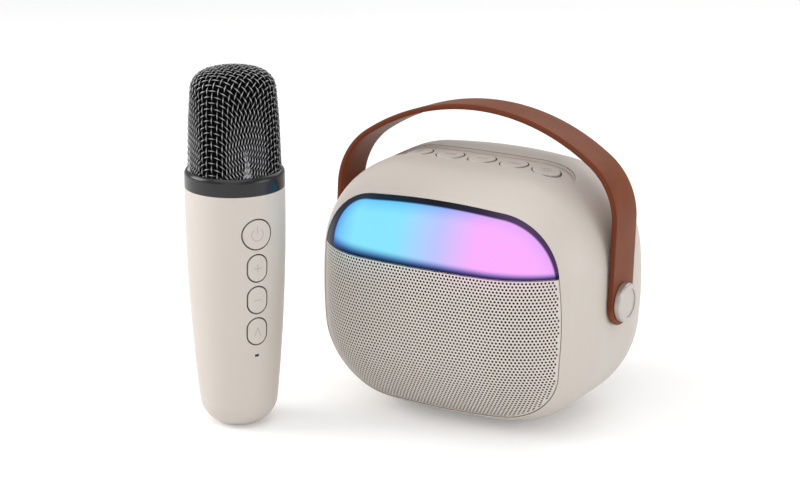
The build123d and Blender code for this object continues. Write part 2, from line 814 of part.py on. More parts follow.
finish(driver_cone, "driver_cone")

# ---- Keys in the strip on top ----
key_stem_end = key_board_top + switch_height + key_travel + switch_clearance
flange_bottom = key_stem_end + key_stem_length
for name, x in zip(key_names, key_places):
    with BuildPart() as key_foot:
        with BuildSketch(Plane.XY.offset(flange_bottom)):
            with Locations((x, key_strip_y)):
                Circle(key_diameter / 2 + key_flange)
        extrude(amount=beyond)
        add(pillow(wall + key_flange_gap), mode=Mode.INTERSECT)
        with BuildSketch(Plane.XY.offset(key_stem_end)):
            with Locations((x, key_strip_y)):
                Circle(key_stem_diameter / 2)
        extrude(amount=flange_bottom - key_stem_end)
    with BuildPart() as key:
        with BuildSketch(Plane.XY.offset(flange_bottom)):
            with Locations((x, key_strip_y)):
                Circle(key_diameter / 2)
        extrude(amount=beyond)
        add(pillow(key_strip_depth - key_raise), mode=Mode.INTERSECT)
        fillet(key.faces().sort_by(Axis.Z)[-1].edges(), key_rounding)
        add(key_foot.part)
    finish(key, name)

with BuildPart() as key_board:
    with BuildSketch(Plane.XY.offset(key_board_top)):
        with Locations((0, key_strip_y)):
            RectangleRounded(2 * key_board_half_length, key_board_width, 1)
        with Locations((-board_post_x, key_strip_y), (board_post_x, key_strip_y)):
            Circle(screw_diameter / 2 + screw_head_gap / 2, mode=Mode.SUBTRACT)
    extrude(amount=-key_board_thickness)
finish(key_board, "key_board")

with BuildPart() as key_switches:
    with BuildSketch(Plane.XY.offset(key_board_top)):
        with Locations(*[(x, key_strip_y) for x in key_places]):
            Rectangle(switch_size, switch_size)
    extrude(amount=switch_height - switch_plunger_height)
    with BuildSketch(Plane.XY.offset(key_board_top)):
        with Locations(*[(x, key_strip_y) for x in key_places]):
            Circle(switch_plunger_diameter / 2)
    extrude(amount=switch_height)
finish(key_switches, "key_switches")

key_board_screws_at = [Plane(origin=(x, key_strip_y, key_board_top - key_board_thickness),
                             x_dir=(1, 0, 0), z_dir=(0, 0, -1))
                       for x in (-board_post_x, board_post_x)]
with BuildPart() as key_board_screws:
    add(screw_group(key_board_screws_at, short_screw_length))
finish(key_board_screws, "key_board_screws")

# ---- Handle: a leather strap on two pins, leaning back a little ----
tilt = radians(handle_lean)
strap_outer = cabinet_half_width + strap_gap + strap_thickness
arch_plane = Plane(origin=(0, pivot_y, pivot_height), x_dir=(1, 0, 0),
                   z_dir=(0, -cos(tilt), sin(tilt)))
strap_side = Plane(origin=(0, pivot_y, pivot_height), x_dir=(0, cos(tilt), -sin(tilt)),
                   z_dir=(1, 0, 0))


def arch_region(inset, foot):
    """The region under the arch, from its foot below the pivot up to the crown."""
    with BuildSketch(Plane.XY) as region:
        with Locations((0, strap_reach - strap_crown_radius)):
            Circle(strap_crown_radius - inset)
        with Locations((0, -foot)):
            Rectangle(2 * (strap_outer - inset), foot + 2 * strap_reach,
                      align=(Align.CENTER, Align.MIN), mode=Mode.INTERSECT)
        fillet(region.vertices().group_by(Axis.Y)[-1], strap_corner_radius - inset)
    return region.sketch


with BuildPart() as handle_strap:
    with BuildSketch(arch_plane):
        add(arch_region(0, strap_width))
        add(arch_region(strap_thickness, 2 * strap_width), mode=Mode.SUBTRACT)
    extrude(amount=strap_width / 2, both=True)
    # round ends
    with BuildSketch(strap_side):
        Circle(strap_width / 2)
        Rectangle(strap_width, 2 * strap_reach, align=(Align.CENTER, Align.MIN))
    extrude(amount=2 * strap_outer, both=True, mode=Mode.INTERSECT)
    fillet(handle_strap.edges().filter_by(lambda e: e.length > 2 * strap_thickness), strap_edge)
    with BuildSketch(strap_side):
        Circle(pin_diameter / 2 + pin_clearance + eyelet_wall)
    extrude(amount=2 * strap_outer, both=True, mode=Mode.SUBTRACT)
finish(handle_strap, "handle_strap")

with BuildPart() as handle_eyelets:
    for side in (-1, 1):
        with BuildSketch(side_plane(side, strap_outer - strap_thickness - eyelet_proud)):
            Circle(pin_diameter / 2 + pin_clearance + eyelet_wall - eyelet_fit)
            Circle(pin_diameter / 2 + pin_clearance, mode=Mode.SUBTRACT)
        extrude(amount=strap_thickness + 2 * eyelet_proud)
finish(handle_eyelets, "handle_eyelets")

for name, side in (("left_knob", -1), ("right_knob", 1)):
    with BuildPart() as knob:
        with BuildSketch(side_plane(side, strap_outer + strap_gap)):
            Circle(knob_diameter / 2)
        extrude(amount=knob_thickness)
        outer_face = knob.faces().sort_by(Axis.X)[-1 if side > 0 else 0]
        fillet(outer_face.edges(), knob_edge)
        with BuildSketch(side_plane(side, strap_outer + strap_gap + knob_thickness)):
            Circle(knob_dish_diameter / 2)
        extrude(amount=-knob_dish_depth, mode=Mode.SUBTRACT)
        with BuildSketch(side_plane(side, strap_outer + strap_gap)):
            Circle(pin_diameter / 2)
        extrude(amount=-pin_length)
    finish(knob, name)

with BuildPart() as knob_inserts:
    for side in (-1, 1):
        with BuildSketch(side_plane(side, insert_inner)):
            Circle(insert_diameter / 2 - eyelet_fit)
            Circle(pin_diameter / 2 + pin_clearance, mode=Mode.SUBTRACT)
        extrude(amount=insert_length)
finish(knob_inserts, "knob_inserts")

# ---- Chassis with the battery and the main board ----
with BuildPart() as chassis:
    middle = (chassis_front + chassis_rear) / 2
    with BuildSketch(Plane.XY):
        with Locations((0, middle)):
            Rectangle(2 * chassis_half_width, chassis_rear - chassis_front)
    extrude(amount=inside_floor + chassis_floor)
    with BuildSketch(Plane.XY):
        with Locations((-board_stand_x, middle), (0, middle), (board_stand_x, middle)):
            Rectangle(rail_thickness, chassis_rear - chassis_front)
    extrude(amount=battery_height - rail_below_battery_centre)
    with BuildSketch(Plane.XY):
        with Locations(*board_stands):
            Circle(board_stand_diameter / 2)
    extrude(amount=board_top - board_thickness)
    add(pillow(wall + chassis_gap), mode=Mode.INTERSECT)
    with BuildSketch(Plane.YZ):
        with Locations((battery_y, battery_height)):
            Circle(battery_diameter / 2 + battery_gap)
    extrude(amount=battery_length, both=True, mode=Mode.SUBTRACT)
    with BuildSketch(Plane.XY.offset(board_top - board_thickness)):
        with Locations(*board_stands):
            Circle(screw_hole)
    extrude(amount=board_thickness - screw_length, mode=Mode.SUBTRACT)
finish(chassis, "chassis")

with BuildPart() as battery:
    with BuildSketch(Plane.YZ):
        with Locations((battery_y, battery_height)):
            Circle(battery_diameter / 2)
    extrude(amount=battery_length / 2, both=True)
    fillet(battery.edges().filter_by(GeomType.CIRCLE), battery_edge)
    with BuildSketch(Plane.YZ.offset(battery_length / 2)):
        with Locations((battery_y, battery_height)):
            Circle(battery_tip_diameter / 2)
    extrude(amount=battery_tip_height)
finish(battery, "battery")

with BuildPart() as main_board:
    with BuildSketch(Plane.XY.offset(board_top)):
        with Locations((0, (board_front + board_rear) / 2)):
            RectangleRounded(2 * board_half_width, board_rear - board_front, 1)
        with Locations(*board_stands):
            Circle(screw_diameter / 2 + screw_head_gap / 2, mode=Mode.SUBTRACT)
    extrude(amount=-board_thickness)
    add(pillow(wall + 2 * chassis_gap), mode=Mode.INTERSECT)
    # amplifier, processor and two capacitors
    with BuildSketch(Plane.XY.offset(board_top)):
        with Locations((amplifier_x, amplifier_y), (processor_x, processor_y)):
            Rectangle(chip_size, chip_size)
    extrude(amount=chip_height)
    with BuildSketch(Plane.XY.offset(board_top)):
        with Locations((capacitor_row_x, board_front + capacitor_from_edge)):
            with GridLocations(capacitor_pitch, 0, 2, 1):
                Circle(capacitor_diameter / 2)
    extrude(amount=capacitor_height)
finish(main_board, "main_board")

main_board_screws_at = [Plane(origin=(x, y, board_top), x_dir=(1, 0, 0), z_dir=(0, 0, 1))
                        for x, y in board_stands]
with BuildPart() as main_board_screws:
    add(screw_group(main_board_screws_at))
finish(main_board_screws, "main_board_screws")

with BuildPart() as charging_socket:
    add(usb_socket(Plane(origin=(usb_x, plate_face_y - port_gap, port_height),
                         x_dir=(-1, 0, 0), z_dir=(0, 1, 0))))
finish(charging_socket, "charging_socket")

card_mouth = Plane(origin=(card_x, board_rear + port_gap, port_height + card_centre),
                   x_dir=(-1, 0, 0), z_dir=(0, 1, 0))
with BuildPart() as card_reader:
    with BuildSketch(card_mouth):
        Rectangle(card_width, card_height)
    extrude(amount=-card_depth)
    with BuildSketch(card_mouth):
        Rectangle(card_slot_width, card_slot_height)
    extrude(amount=card_wall - card_depth, mode=Mode.SUBTRACT)
finish(card_reader, "card_reader")

# ---- Microphone ----
turn = radians(mic_turn)
mic_floor = Plane(origin=(mic_x, mic_y, 0), x_dir=(cos(turn), sin(turn), 0), z_dir=(0, 0, 1))
mic_section = Plane(origin=(mic_x, mic_y, 0), x_dir=(cos(turn), sin(turn), 0),
                    z_dir=(sin(turn), -cos(turn), 0))
mic_axis = Axis((mic_x, mic_y, 0), (0, 0, 1))
mic_front = Axis((mic_x, mic_y, 0), (sin(turn), -cos(turn), 0))
collar_top = mic_shoulder_height + collar_height
mesh_foot = collar_top - mesh_seat
body_side = Edge.make_three_point_arc((mic_foot_radius, 0),
                                      (mic_belly_radius, mic_shoulder_height / 2),
                                      (mic_shoulder_radius, mic_shoulder_height))
mesh_side = Edge.make_three_point_arc((mesh_base_radius, collar_top),
                                      (mesh_side_radius, mesh_side_height),
                                      (mesh_corner_radius, mesh_corner_height))


def body_outline(inset):
    """The body's outline across its axis, drawn in all round by an inset."""
    with BuildSketch(Plane.XY) as outline:
        with Locations((body_side.arc_center.X, body_side.arc_center.Y)):
            Circle(body_side.radius - inset)
        with Locations((-body_side.arc_center.X, body_side.arc_center.Y)):
            Circle(body_side.radius - inset, mode=Mode.INTERSECT)
        with Locations((0, inset)):
            Rectangle(4 * mic_shoulder_radius, 2 * mic_shoulder_height,
                      align=(Align.CENTER, Align.MIN), mode=Mode.INTERSECT)
        fillet(outline.vertices().group_by(Axis.Y)[0], mic_foot_rounding - inset)
    return outline.sketch


def mesh_outline(inset):
    """The mesh head's outline across its axis, drawn in all round by an inset."""
    with BuildSketch(Plane.XY) as outline:
        with Locations((0, mesh_height - mesh_dome_radius)):
            Circle(mesh_dome_radius - inset)
        with Locations((mesh_side.arc_center.X, mesh_side.arc_center.Y)):
            Circle(mesh_side.radius - inset, mode=Mode.INTERSECT)
        with Locations((-mesh_side.arc_center.X, mesh_side.arc_center.Y)):
            Circle(mesh_side.radius - inset, mode=Mode.INTERSECT)
        fillet(outline.vertices().group_by(Axis.Y)[-1], mesh_corner_rounding - inset)
    return outline.sketch


@cache
def turned(outline, inset, bottom, top):
    """A solid turned about the microphone's axis, cut level at two heights."""
    with BuildPart() as form:
        with BuildSketch(mic_section):
            add(outline(inset))
            with Locations((0, bottom)):
                Rectangle(2 * mic_shoulder_radius, top - bottom, align=(Align.MIN, Align.MIN),
                          mode=Mode.INTERSECT)
        revolve(axis=mic_axis)
    return form.part


def mic_drum(radius, bottom, top):
    """A cylinder on the microphone's axis."""
    with BuildPart() as drum:
        with BuildSketch(mic_floor.offset(bottom)):
            Circle(radius)
        extrude(amount=top - bottom)
    return drum.part


def mic_key_outline(name, margin=0.0):
    """A key's outline with a margin round it."""
    with BuildSketch(Plane.XY) as outline:
        if name == "mic_power_key":
            Circle(power_key_diameter / 2 + margin)
        else:
            SlotOverall(oval_key_height + 2 * margin, oval_key_width + 2 * margin, rotation=90)
    return outline.sketch


mic_keys = {"mic_power_key": power_key_height,
            "mic_plus_key": oval_key_top,
            "mic_minus_key": oval_key_top - oval_key_pitch,
            "mic_mode_key": oval_key_top - 2 * oval_key_pitch}
charge_board_base = mic_usb_recess + usb_depth

with BuildPart() as mic_body:
    add(turned(body_outline, 0, 0, mic_shoulder_height))
    add(turned(body_outline, mic_wall, 0, mic_shoulder_height), mode=Mode.SUBTRACT)
    # shelf and neck, which begin inside the wall
    add(turned(body_outline, mic_wall / 2, mic_shelf_height - mic_shelf_thickness,
               mic_shoulder_height))
    add(mic_drum(mic_neck_radius, mic_shoulder_height, mic_shoulder_height + mic_neck_height))
    add(mic_drum(mic_neck_bore_radius, mic_shelf_height, collar_top), mode=Mode.SUBTRACT)
    add(mic_drum(mic_shelf_bore_radius, mic_lower_disc, collar_top), mode=Mode.SUBTRACT)
    for name, height in mic_keys.items():
        with BuildSketch(mic_section):
            with Locations((0, height)):
                add(mic_key_outline(name, mic_key_gap))
        extrude(amount=2 * mic_shoulder_radius, mode=Mode.SUBTRACT)
    with BuildSketch(mic_section):
        with Locations((0, mic_light_height)):
            Rectangle(mic_light_width, mic_light_tall)
    extrude(amount=2 * mic_shoulder_radius, mode=Mode.SUBTRACT)
    # posts for the charging board, and the port in the foot
    with BuildSketch(mic_floor.offset(mic_wall / 2)):
        with Locations((-charge_post_x, 0), (charge_post_x, 0)):
            Circle(charge_post_radius)
    extrude(amount=charge_board_base - mic_wall / 2)
    with BuildSketch(mic_floor):
        SlotOverall(usb_width + 2 * mic_usb_gap, usb_height + 2 * mic_usb_gap)
    extrude(amount=charge_board_base, mode=Mode.SUBTRACT)
finish(mic_body, "mic_body")

with BuildPart() as mic_collar:
    add(mic_drum(mic_shoulder_radius, mic_shoulder_height, collar_top))
    fillet(mic_collar.faces().sort_by(Axis.Z)[-1].edges(), collar_edge)
    add(mic_drum(mic_neck_radius + collar_gap, mic_shoulder_height,
                 mic_shoulder_height + mic_neck_height + collar_gap), mode=Mode.SUBTRACT)
    add(mic_drum(collar_throat_radius, mic_shoulder_height, collar_top), mode=Mode.SUBTRACT)
    # groove for the foot of the mesh
    with BuildSketch(mic_floor.offset(mesh_foot)):
        Circle(mesh_base_radius + mesh_gap)
        Circle(mesh_base_radius - mesh_thickness - mesh_gap, mode=Mode.SUBTRACT)
    extrude(amount=mesh_seat, mode=Mode.SUBTRACT)
finish(mic_collar, "mic_collar")

with BuildPart() as mic_mesh_head:
    add(turned(mesh_outline, 0, mesh_foot, mesh_height))
    add(turned(mesh_outline, mesh_thickness, mesh_foot, mesh_height), mode=Mode.SUBTRACT)
finish(mic_mesh_head, "mic_mesh_head")

foam_inset = mesh_thickness + foam_gap
with BuildPart() as mic_foam:
    add(turned(mesh_outline, foam_inset, collar_top, mesh_height))
    add(turned(mesh_outline, foam_inset + foam_thickness, collar_top, mesh_height),
        mode=Mode.SUBTRACT)
finish(mic_foam, "mic_foam")

upper_disc_top = mic_shelf_height + mic_disc_thickness
with BuildPart() as mic_capsule_cup:
    add(mic_drum(cup_stem_radius, upper_disc_top, capsule_base - cup_floor))
    add(mic_drum(capsule_diameter / 2 + cup_wall, capsule_base - cup_floor,
                 capsule_base + cup_grip))
    add(mic_drum(capsule_diameter / 2 + capsule_gap, capsule_base, collar_top + capsule_base),
        mode=Mode.SUBTRACT)
finish(mic_capsule_cup, "mic_capsule_cup")

with BuildPart() as mic_capsule:
    add(mic_drum(capsule_diameter / 2, capsule_base, capsule_base + capsule_height))
    fillet(mic_capsule.faces().sort_by(Axis.Z)[-1].edges(), capsule_edge)
finish(mic_capsule, "mic_capsule")

battery_centre = mic_board_face - mic_board_thickness - mic_battery_gap - mic_battery_diameter / 2
spine_front = battery_centre - mic_battery_diameter / 2 - mic_battery_gap
with BuildPart() as mic_chassis:
    add(mic_drum(mic_lower_disc_radius, mic_lower_disc, mic_lower_disc + mic_disc_thickness))
    add(mic_drum(mic_neck_bore_radius - mic_disc_gap, mic_shelf_height, upper_disc_top))
    with BuildSketch(mic_section.offset(spine_front)):
        with Locations((0, mic_lower_disc)):
            Rectangle(mic_spine_width, mic_shelf_height - mic_lower_disc,
                      align=(Align.CENTER, Align.MIN))
    extrude(amount=-mic_spine_thickness)
    # a seat under the battery and one over it
    with BuildSketch(mic_section.offset(spine_front)):
        with Locations((0, mic_battery_base - mic_disc_thickness),
                       (0, mic_battery_base + mic_battery_length + battery_tip_height
                        + mic_battery_gap)):
            Rectangle(mic_spine_width, mic_disc_thickness, align=(Align.CENTER, Align.MIN))
    extrude(amount=mic_battery_diameter)
finish(mic_chassis, "mic_chassis")

with BuildPart() as mic_battery:
    with BuildSketch(mic_floor.offset(mic_battery_base)):
        with Locations((0, -battery_centre)):
            Circle(mic_battery_diameter / 2)
    extrude(amount=mic_battery_length)
    fillet(mic_battery.edges().filter_by(GeomType.CIRCLE), battery_edge)
    with BuildSketch(mic_floor.offset(mic_battery_base + mic_battery_length)):
        with Locations((0, -battery_centre)):
            Circle(battery_tip_diameter / 2)
    extrude(amount=battery_tip_height)
finish(mic_battery, "mic_battery")

with BuildPart() as mic_board:
    with BuildSketch(mic_section.offset(mic_board_face)):
        with Locations((0, mic_lower_disc + mic_disc_thickness)):
            Rectangle(mic_board_width, mic_shelf_height - mic_lower_disc - mic_disc_thickness,
                      align=(Align.CENTER, Align.MIN))
    extrude(amount=-mic_board_thickness)
finish(mic_board, "mic_board")

with BuildPart() as mic_switches:
    with BuildSketch(mic_section.offset(mic_board_face)):
        with Locations(*[(0, height) for height in mic_keys.values()]):
            Rectangle(switch_size, switch_size)
    extrude(amount=mic_switch_height - switch_plunger_height)
    with BuildSketch(mic_section.offset(mic_board_face)):
        with Locations(*[(0, height) for height in mic_keys.values()]):
            Circle(switch_plunger_diameter / 2)
    extrude(amount=mic_switch_height)
finish(mic_switches, "mic_switches")

mic_stem_end = mic_board_face + mic_switch_height + mic_key_travel + switch_clearance
for name, height in mic_keys.items():
    with BuildPart() as mic_key_foot:
        with BuildSketch(mic_section.offset(mic_key_back)):
            with Locations((0, height)):
                add(mic_key_outline(name, mic_key_flange))
        extrude(amount=mic_shoulder_radius)
        add(turned(body_outline, mic_wall + mic_key_flange_gap, 0, mic_shoulder_height),
            mode=Mode.INTERSECT)
        with BuildSketch(mic_section.offset(mic_key_back)):
            with Locations((0, height)):
                Circle(mic_key_stem_diameter / 2)
        extrude(amount=mic_stem_end - mic_key_back)
    with BuildPart() as mic_key:
        with BuildSketch(mic_section.offset(mic_key_back)):
            with Locations((0, height)):
                add(mic_key_outline(name))
        extrude(amount=mic_shoulder_radius)
        add(turned(body_outline, -mic_key_raise, 0, mic_shoulder_height), mode=Mode.INTERSECT)
        fillet(mic_key.faces().sort_by(mic_front)[-1].edges(), mic_key_rounding)
        add(mic_key_foot.part)
    finish(mic_key, name)

with BuildPart() as mic_status_light:
    with BuildSketch(mic_section.offset(mic_board_face)):
        with Locations((0, mic_light_height)):
            Rectangle(mic_light_width - 2 * mic_light_gap, mic_light_tall - 2 * mic_light_gap)
    extrude(amount=mic_shoulder_radius)
    add(turned(body_outline, mic_light_sink, 0, mic_shoulder_height), mode=Mode.INTERSECT)
    with BuildSketch(mic_section.offset(mic_board_face)):
        with Locations((0, mic_light_height)):
            Rectangle(mic_light_width + 2 * mic_light_foot, mic_light_tall + 2 * mic_light_foot)
    extrude(amount=mic_key_back - mic_board_face)
finish(mic_status_light, "mic_status_light")

with BuildPart() as mic_charge_board:
    add(mic_drum(charge_board_radius, charge_board_base,
                 charge_board_base + charge_board_thickness))
finish(mic_charge_board, "mic_charge_board")

with BuildPart() as mic_usb_socket:
    add(usb_socket(Plane(origin=(mic_x, mic_y, mic_usb_recess), x_dir=mic_floor.x_dir,
                         z_dir=(0, 0, -1))))
finish(mic_usb_socket, "mic_usb_socket")
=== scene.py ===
"""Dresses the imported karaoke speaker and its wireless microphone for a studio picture."""
import bmesh
import bpy
import json
import numpy as np
from math import atan2, cos, pi, radians, sin, sqrt
from mathutils import Matrix, Vector
from mathutils.bvhtree import BVHTree


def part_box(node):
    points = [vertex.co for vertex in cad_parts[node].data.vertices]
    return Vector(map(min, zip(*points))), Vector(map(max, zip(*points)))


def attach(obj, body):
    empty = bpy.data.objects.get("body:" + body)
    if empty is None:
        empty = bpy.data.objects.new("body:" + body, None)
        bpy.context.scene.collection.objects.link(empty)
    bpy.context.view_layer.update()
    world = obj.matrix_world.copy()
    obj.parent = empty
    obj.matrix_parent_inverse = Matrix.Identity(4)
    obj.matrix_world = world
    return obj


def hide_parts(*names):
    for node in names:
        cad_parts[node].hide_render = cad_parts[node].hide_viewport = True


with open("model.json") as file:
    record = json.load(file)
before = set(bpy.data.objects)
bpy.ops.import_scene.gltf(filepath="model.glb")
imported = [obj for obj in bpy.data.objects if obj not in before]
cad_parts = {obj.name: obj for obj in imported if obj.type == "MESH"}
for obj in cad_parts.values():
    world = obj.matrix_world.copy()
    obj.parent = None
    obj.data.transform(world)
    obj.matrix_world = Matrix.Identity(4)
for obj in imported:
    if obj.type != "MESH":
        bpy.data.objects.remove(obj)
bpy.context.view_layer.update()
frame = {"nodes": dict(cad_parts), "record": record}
nodes = frame["nodes"]
MM = 0.001


# ---- Small helpers ----
def link_new(name, mesh):
    """A new object at the origin that holds this mesh."""
    piece = bpy.data.objects.new(name, mesh)
    bpy.context.scene.collection.objects.link(piece)
    return piece


def put_in_order(bm):
    """Sorts edges and faces by their vertices, so that every run gives the same mesh."""
    bm.verts.index_update()
    size = len(bm.verts)

    def rank(part):
        """A number made of the part's three lowest vertex numbers."""
        first, second, *others = sorted(vert.index for vert in part.verts)
        return (first * size + second) * size + (others[0] if others else 0)

    for parts in (bm.edges, bm.faces):
        parts.sort(key=rank)
        parts.index_update()


def piece_from(bm, name, material, body, smooth=True):
    """Turns a bmesh in metres into a finished piece that rides on a body."""
    put_in_order(bm)
    mesh = bpy.data.meshes.new(name)
    bm.to_mesh(mesh)
    bm.free()
    for face in mesh.polygons:
        face.use_smooth = smooth
    mesh.materials.append(material)
    piece = link_new(name, mesh)
    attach(piece, body)
    return piece


def smooth_step(share):
    """Eases a share between 0 and 1."""
    share = np.clip(share, 0, 1)
    return share * share * (3 - 2 * share)


# ---- Node groups and materials ----
def new_group(name, inputs, outputs):
    """An empty shader node group with named sockets."""
    group = bpy.data.node_groups.new(name, "ShaderNodeTree")
    for label, kind, value in inputs:
        socket = group.interface.new_socket(label, in_out="INPUT", socket_type=kind)
        if value is not None:
            socket.default_value = value
    for label, kind in outputs:
        group.interface.new_socket(label, in_out="OUTPUT", socket_type=kind)
    start = group.nodes.new("NodeGroupInput")
    end = group.nodes.new("NodeGroupOutput")
    return group, start, end


def wire(tree, *pairs):
    """Links pairs of sockets."""
    for source, target in pairs:
        tree.links.new(source, target)


def fine_grain():
    """A fine tooth all over a surface, as a normal."""
    group, start, end = new_group(
        "fine grain",
        [("Vector", "NodeSocketVector", None), ("Scale", "NodeSocketFloat", 1500.0),
         ("Depth", "NodeSocketFloat", 0.00002)],
        [("Normal", "NodeSocketVector")])
    tooth = group.nodes.new("ShaderNodeTexNoise")
    tooth.inputs["Detail"].default_value = 3.0
    bump = group.nodes.new("ShaderNodeBump")
    bump.inputs["Strength"].default_value = 1.0
    wire(group, (start.outputs["Vector"], tooth.inputs["Vector"]),
         (start.outputs["Scale"], tooth.inputs["Scale"]),
         (start.outputs["Depth"], bump.inputs["Distance"]),
         (tooth.outputs["Fac"], bump.inputs["Height"]),
         (bump.outputs["Normal"], end.inputs["Normal"]))
    return group


def tone_variation():
    """A colour that drifts a little lighter and darker over the surface."""
    group, start, end = new_group(
        "tone variation",
        [("Vector", "NodeSocketVector", None), ("Colour", "NodeSocketColor", (1, 1, 1, 1)),
         ("Scale", "NodeSocketFloat", 30.0), ("Amount", "NodeSocketFloat", 0.05)],
        [("Colour", "NodeSocketColor")])
    cloud = group.nodes.new("ShaderNodeTexNoise")
    cloud.inputs["Detail"].default_value = 4.0
    spread = group.nodes.new("ShaderNodeMapRange")
    less = group.nodes.new("ShaderNodeMath")
    less.operation = "MULTIPLY_ADD"
    less.inputs[1].default_value = -1.0
    less.inputs[2].default_value = 1.0
    tint = group.nodes.new("ShaderNodeHueSaturation")
    wire(group, (start.outputs["Vector"], cloud.inputs["Vector"]),
         (start.outputs["Scale"], cloud.inputs["Scale"]),
         (cloud.outputs["Fac"], spread.inputs["Value"]),
         (start.outputs["Amount"], spread.inputs["To Max"]),
         (spread.outputs["Result"], less.inputs[0]),
         (less.outputs["Value"], tint.inputs["Value"]),
         (start.outputs["Colour"], tint.inputs["Color"]),
         (tint.outputs["Color"], end.inputs["Colour"]))
    return group


GRAIN = fine_grain()
TONE = tone_variation()


class Finish:
    """A material with a Principled shader and object coordinates to build on."""

    def __init__(self, name, colour, roughness, metallic=0.0, **plain):
        self.material = bpy.data.materials.new(name)
        self.material.use_nodes = True
        self.tree = self.material.node_tree
        self.shader = self.tree.nodes["Principled BSDF"]
        self.colour = colour
        self.put("Base Color", (*colour, 1.0))
        self.put("Roughness", roughness)
        self.put("Metallic", metallic)
        for label, value in plain.items():
            self.put(label.replace("_", " "), value)
        self.place = self.node("ShaderNodeTexCoord").outputs["Object"]

    def put(self, label, value):
        """Sets an input of the shader."""
        self.shader.inputs[label].default_value = value

    def node(self, kind, **values):
        """A new node with values for its inputs."""
        made = self.tree.nodes.new(kind)
        for label, value in values.items():
            made.inputs[label.replace("_", " ")].default_value = value
        return made

    def attribute(self, name):
        """A new node that reads a mesh attribute."""
        made = self.node("ShaderNodeAttribute")
        made.attribute_name = name
        return made

    def group(self, tree, **values):
        """A new node that holds a group, fed with the object coordinates."""
        made = self.tree.nodes.new("ShaderNodeGroup")
        made.node_tree = tree
        for label, value in values.items():
            made.inputs[label].default_value = value
        self.tree.links.new(self.place, made.inputs["Vector"])
        return made

    def join(self, source, label):
        """Links a socket to an input of the shader."""
        self.tree.links.new(source, self.shader.inputs[label])

    def grained(self, scale, depth):
        """Adds the fine grain."""
        grain = self.group(GRAIN, Scale=scale, Depth=depth)
        self.join(grain.outputs["Normal"], "Normal")

    def toned(self, scale, amount):
        """Adds the slow change of tone."""
        tone = self.group(TONE, Colour=(*self.colour, 1.0), Scale=scale, Amount=amount)
        self.join(tone.outputs["Colour"], "Base Color")


def plain_finish(name, colour, roughness, metallic=0.0, grain=(1500.0, 0.00001),
                 tone=(40.0, 0.05), **plain):
    """A finish with only grain and a change of tone."""
    finish = Finish(name, colour, roughness, metallic, **plain)
    finish.grained(*grain)
    finish.toned(*tone)
    return finish.material


# ---- The cabinet's front, in millimetres ----
# A form with bowed sides: (half width, half height, corner, side bow, crown bow).
CENTRE_Z = 56.9
HALF_WIDTH, HALF_HEIGHT = 66.2, 55.7
CORNER, SIDE_BOW, CROWN_BOW = 41.6, 350.0, 900.0
EDGE = 40.4                     # rounding between the sides and the domed front
DOME = 330.0                    # radius of that dome
DOME_Y = DOME - 57.0            # and its centre
SHELL_OPENING, SHELL_OPENING_Z = (58.1, 47.6, 23.1, 314.0, 314.0), 54.8
OPENING, OPENING_Z = (58.1, 47.55, 28.6, 170.0, 331.0), 54.75     # inside its bezel
SEAM_Z = 75.5                   # the grille ends and the light panel begins
SEAM_GAP = 0.3
SKIN_GAP = 0.25
RIM_COUNTS, LOOP_COUNTS, BAND_COUNTS = (50, 8, 80), (40, 40, 60), (30, 40, 60)  # points of runs
CUT_COUNT = 90                  # points of a straight cut across the opening
PORTION = 20000                 # vertices worked on at a time


def drawn_in(form, margin):
    """The same bowed form, smaller by a margin all round."""
    return tuple(value - margin for value in form)


def quarter(form, counts):
    """Points of a bowed form from its right side over the corner to the middle of its top."""
    half_width, half_height, corner, side, crown = form
    side_centre = np.array([half_width - side, 0.0])
    crown_centre = np.array([0.0, half_height - crown])
    gap = crown_centre - side_centre
    reach = np.hypot(*gap)
    along = ((side - corner) ** 2 - (crown - corner) ** 2 + reach ** 2) / (2 * reach)
    across = sqrt((side - corner) ** 2 - along ** 2)
    cx, cz = side_centre + (gap * along + np.array([-gap[1], gap[0]]) * across) / reach
    low = atan2(cz, cx - side_centre[0])
    high = atan2(cz - crown_centre[1], cx)
    runs = ((side_centre, side, 0.0, low), ((cx, cz), corner, low, high),
            (crown_centre, crown, high, pi / 2))
    parts = []
    for (centre, radius, start, end), count in zip(runs, counts):
        turn = np.linspace(start, end, count, endpoint=False)
        parts.append(np.c_[np.cos(turn), np.sin(turn)] * radius + centre)
    return np.vstack([*parts, [[0.0, half_height]]])


def closed_loop(form, counts, centre=(0.0, 0.0)):
    """The whole outline, anticlockwise from the middle of its right side."""
    first = quarter(form, counts)
    upper = np.vstack([first, (first * [-1, 1])[-2::-1]])
    return np.vstack([upper, (upper * [1, -1])[-2:0:-1]]) + centre


# centres of the balls that the rounding between sides and dome is made of
RIM = quarter(drawn_in((HALF_WIDTH, HALF_HEIGHT, CORNER, SIDE_BOW, CROWN_BOW), EDGE), RIM_COUNTS)
RIM_Y = DOME_Y - np.sqrt((DOME - EDGE) ** 2 - (RIM ** 2).sum(axis=1))


def front_skin(x, z, inset):
    """The y of the cabinet's front at points x and z, with its surface set in by an inset."""
    x, z = np.abs(x), np.abs(z - CENTRE_Z)
    reach = ((EDGE - inset[:, None]) ** 2 - (x[:, None] - RIM[:, 0]) ** 2
             - (z[:, None] - RIM[:, 1]) ** 2)
    balls = np.where(reach > 0, RIM_Y - np.sqrt(np.maximum(reach, 0)), 0).min(axis=1)
    px, pz = ((DOME - EDGE) / (DOME - inset) * value for value in (x, z))
    side, crown = SIDE_BOW - EDGE, CROWN_BOW - EDGE
    domed = ((np.hypot(px - HALF_WIDTH + EDGE + side, pz) < side)
             & (np.hypot(px, pz - HALF_HEIGHT + EDGE + crown) < crown))
    return np.where(domed, DOME_Y - np.sqrt((DOME - inset) ** 2 - x * x - z * z), balls)


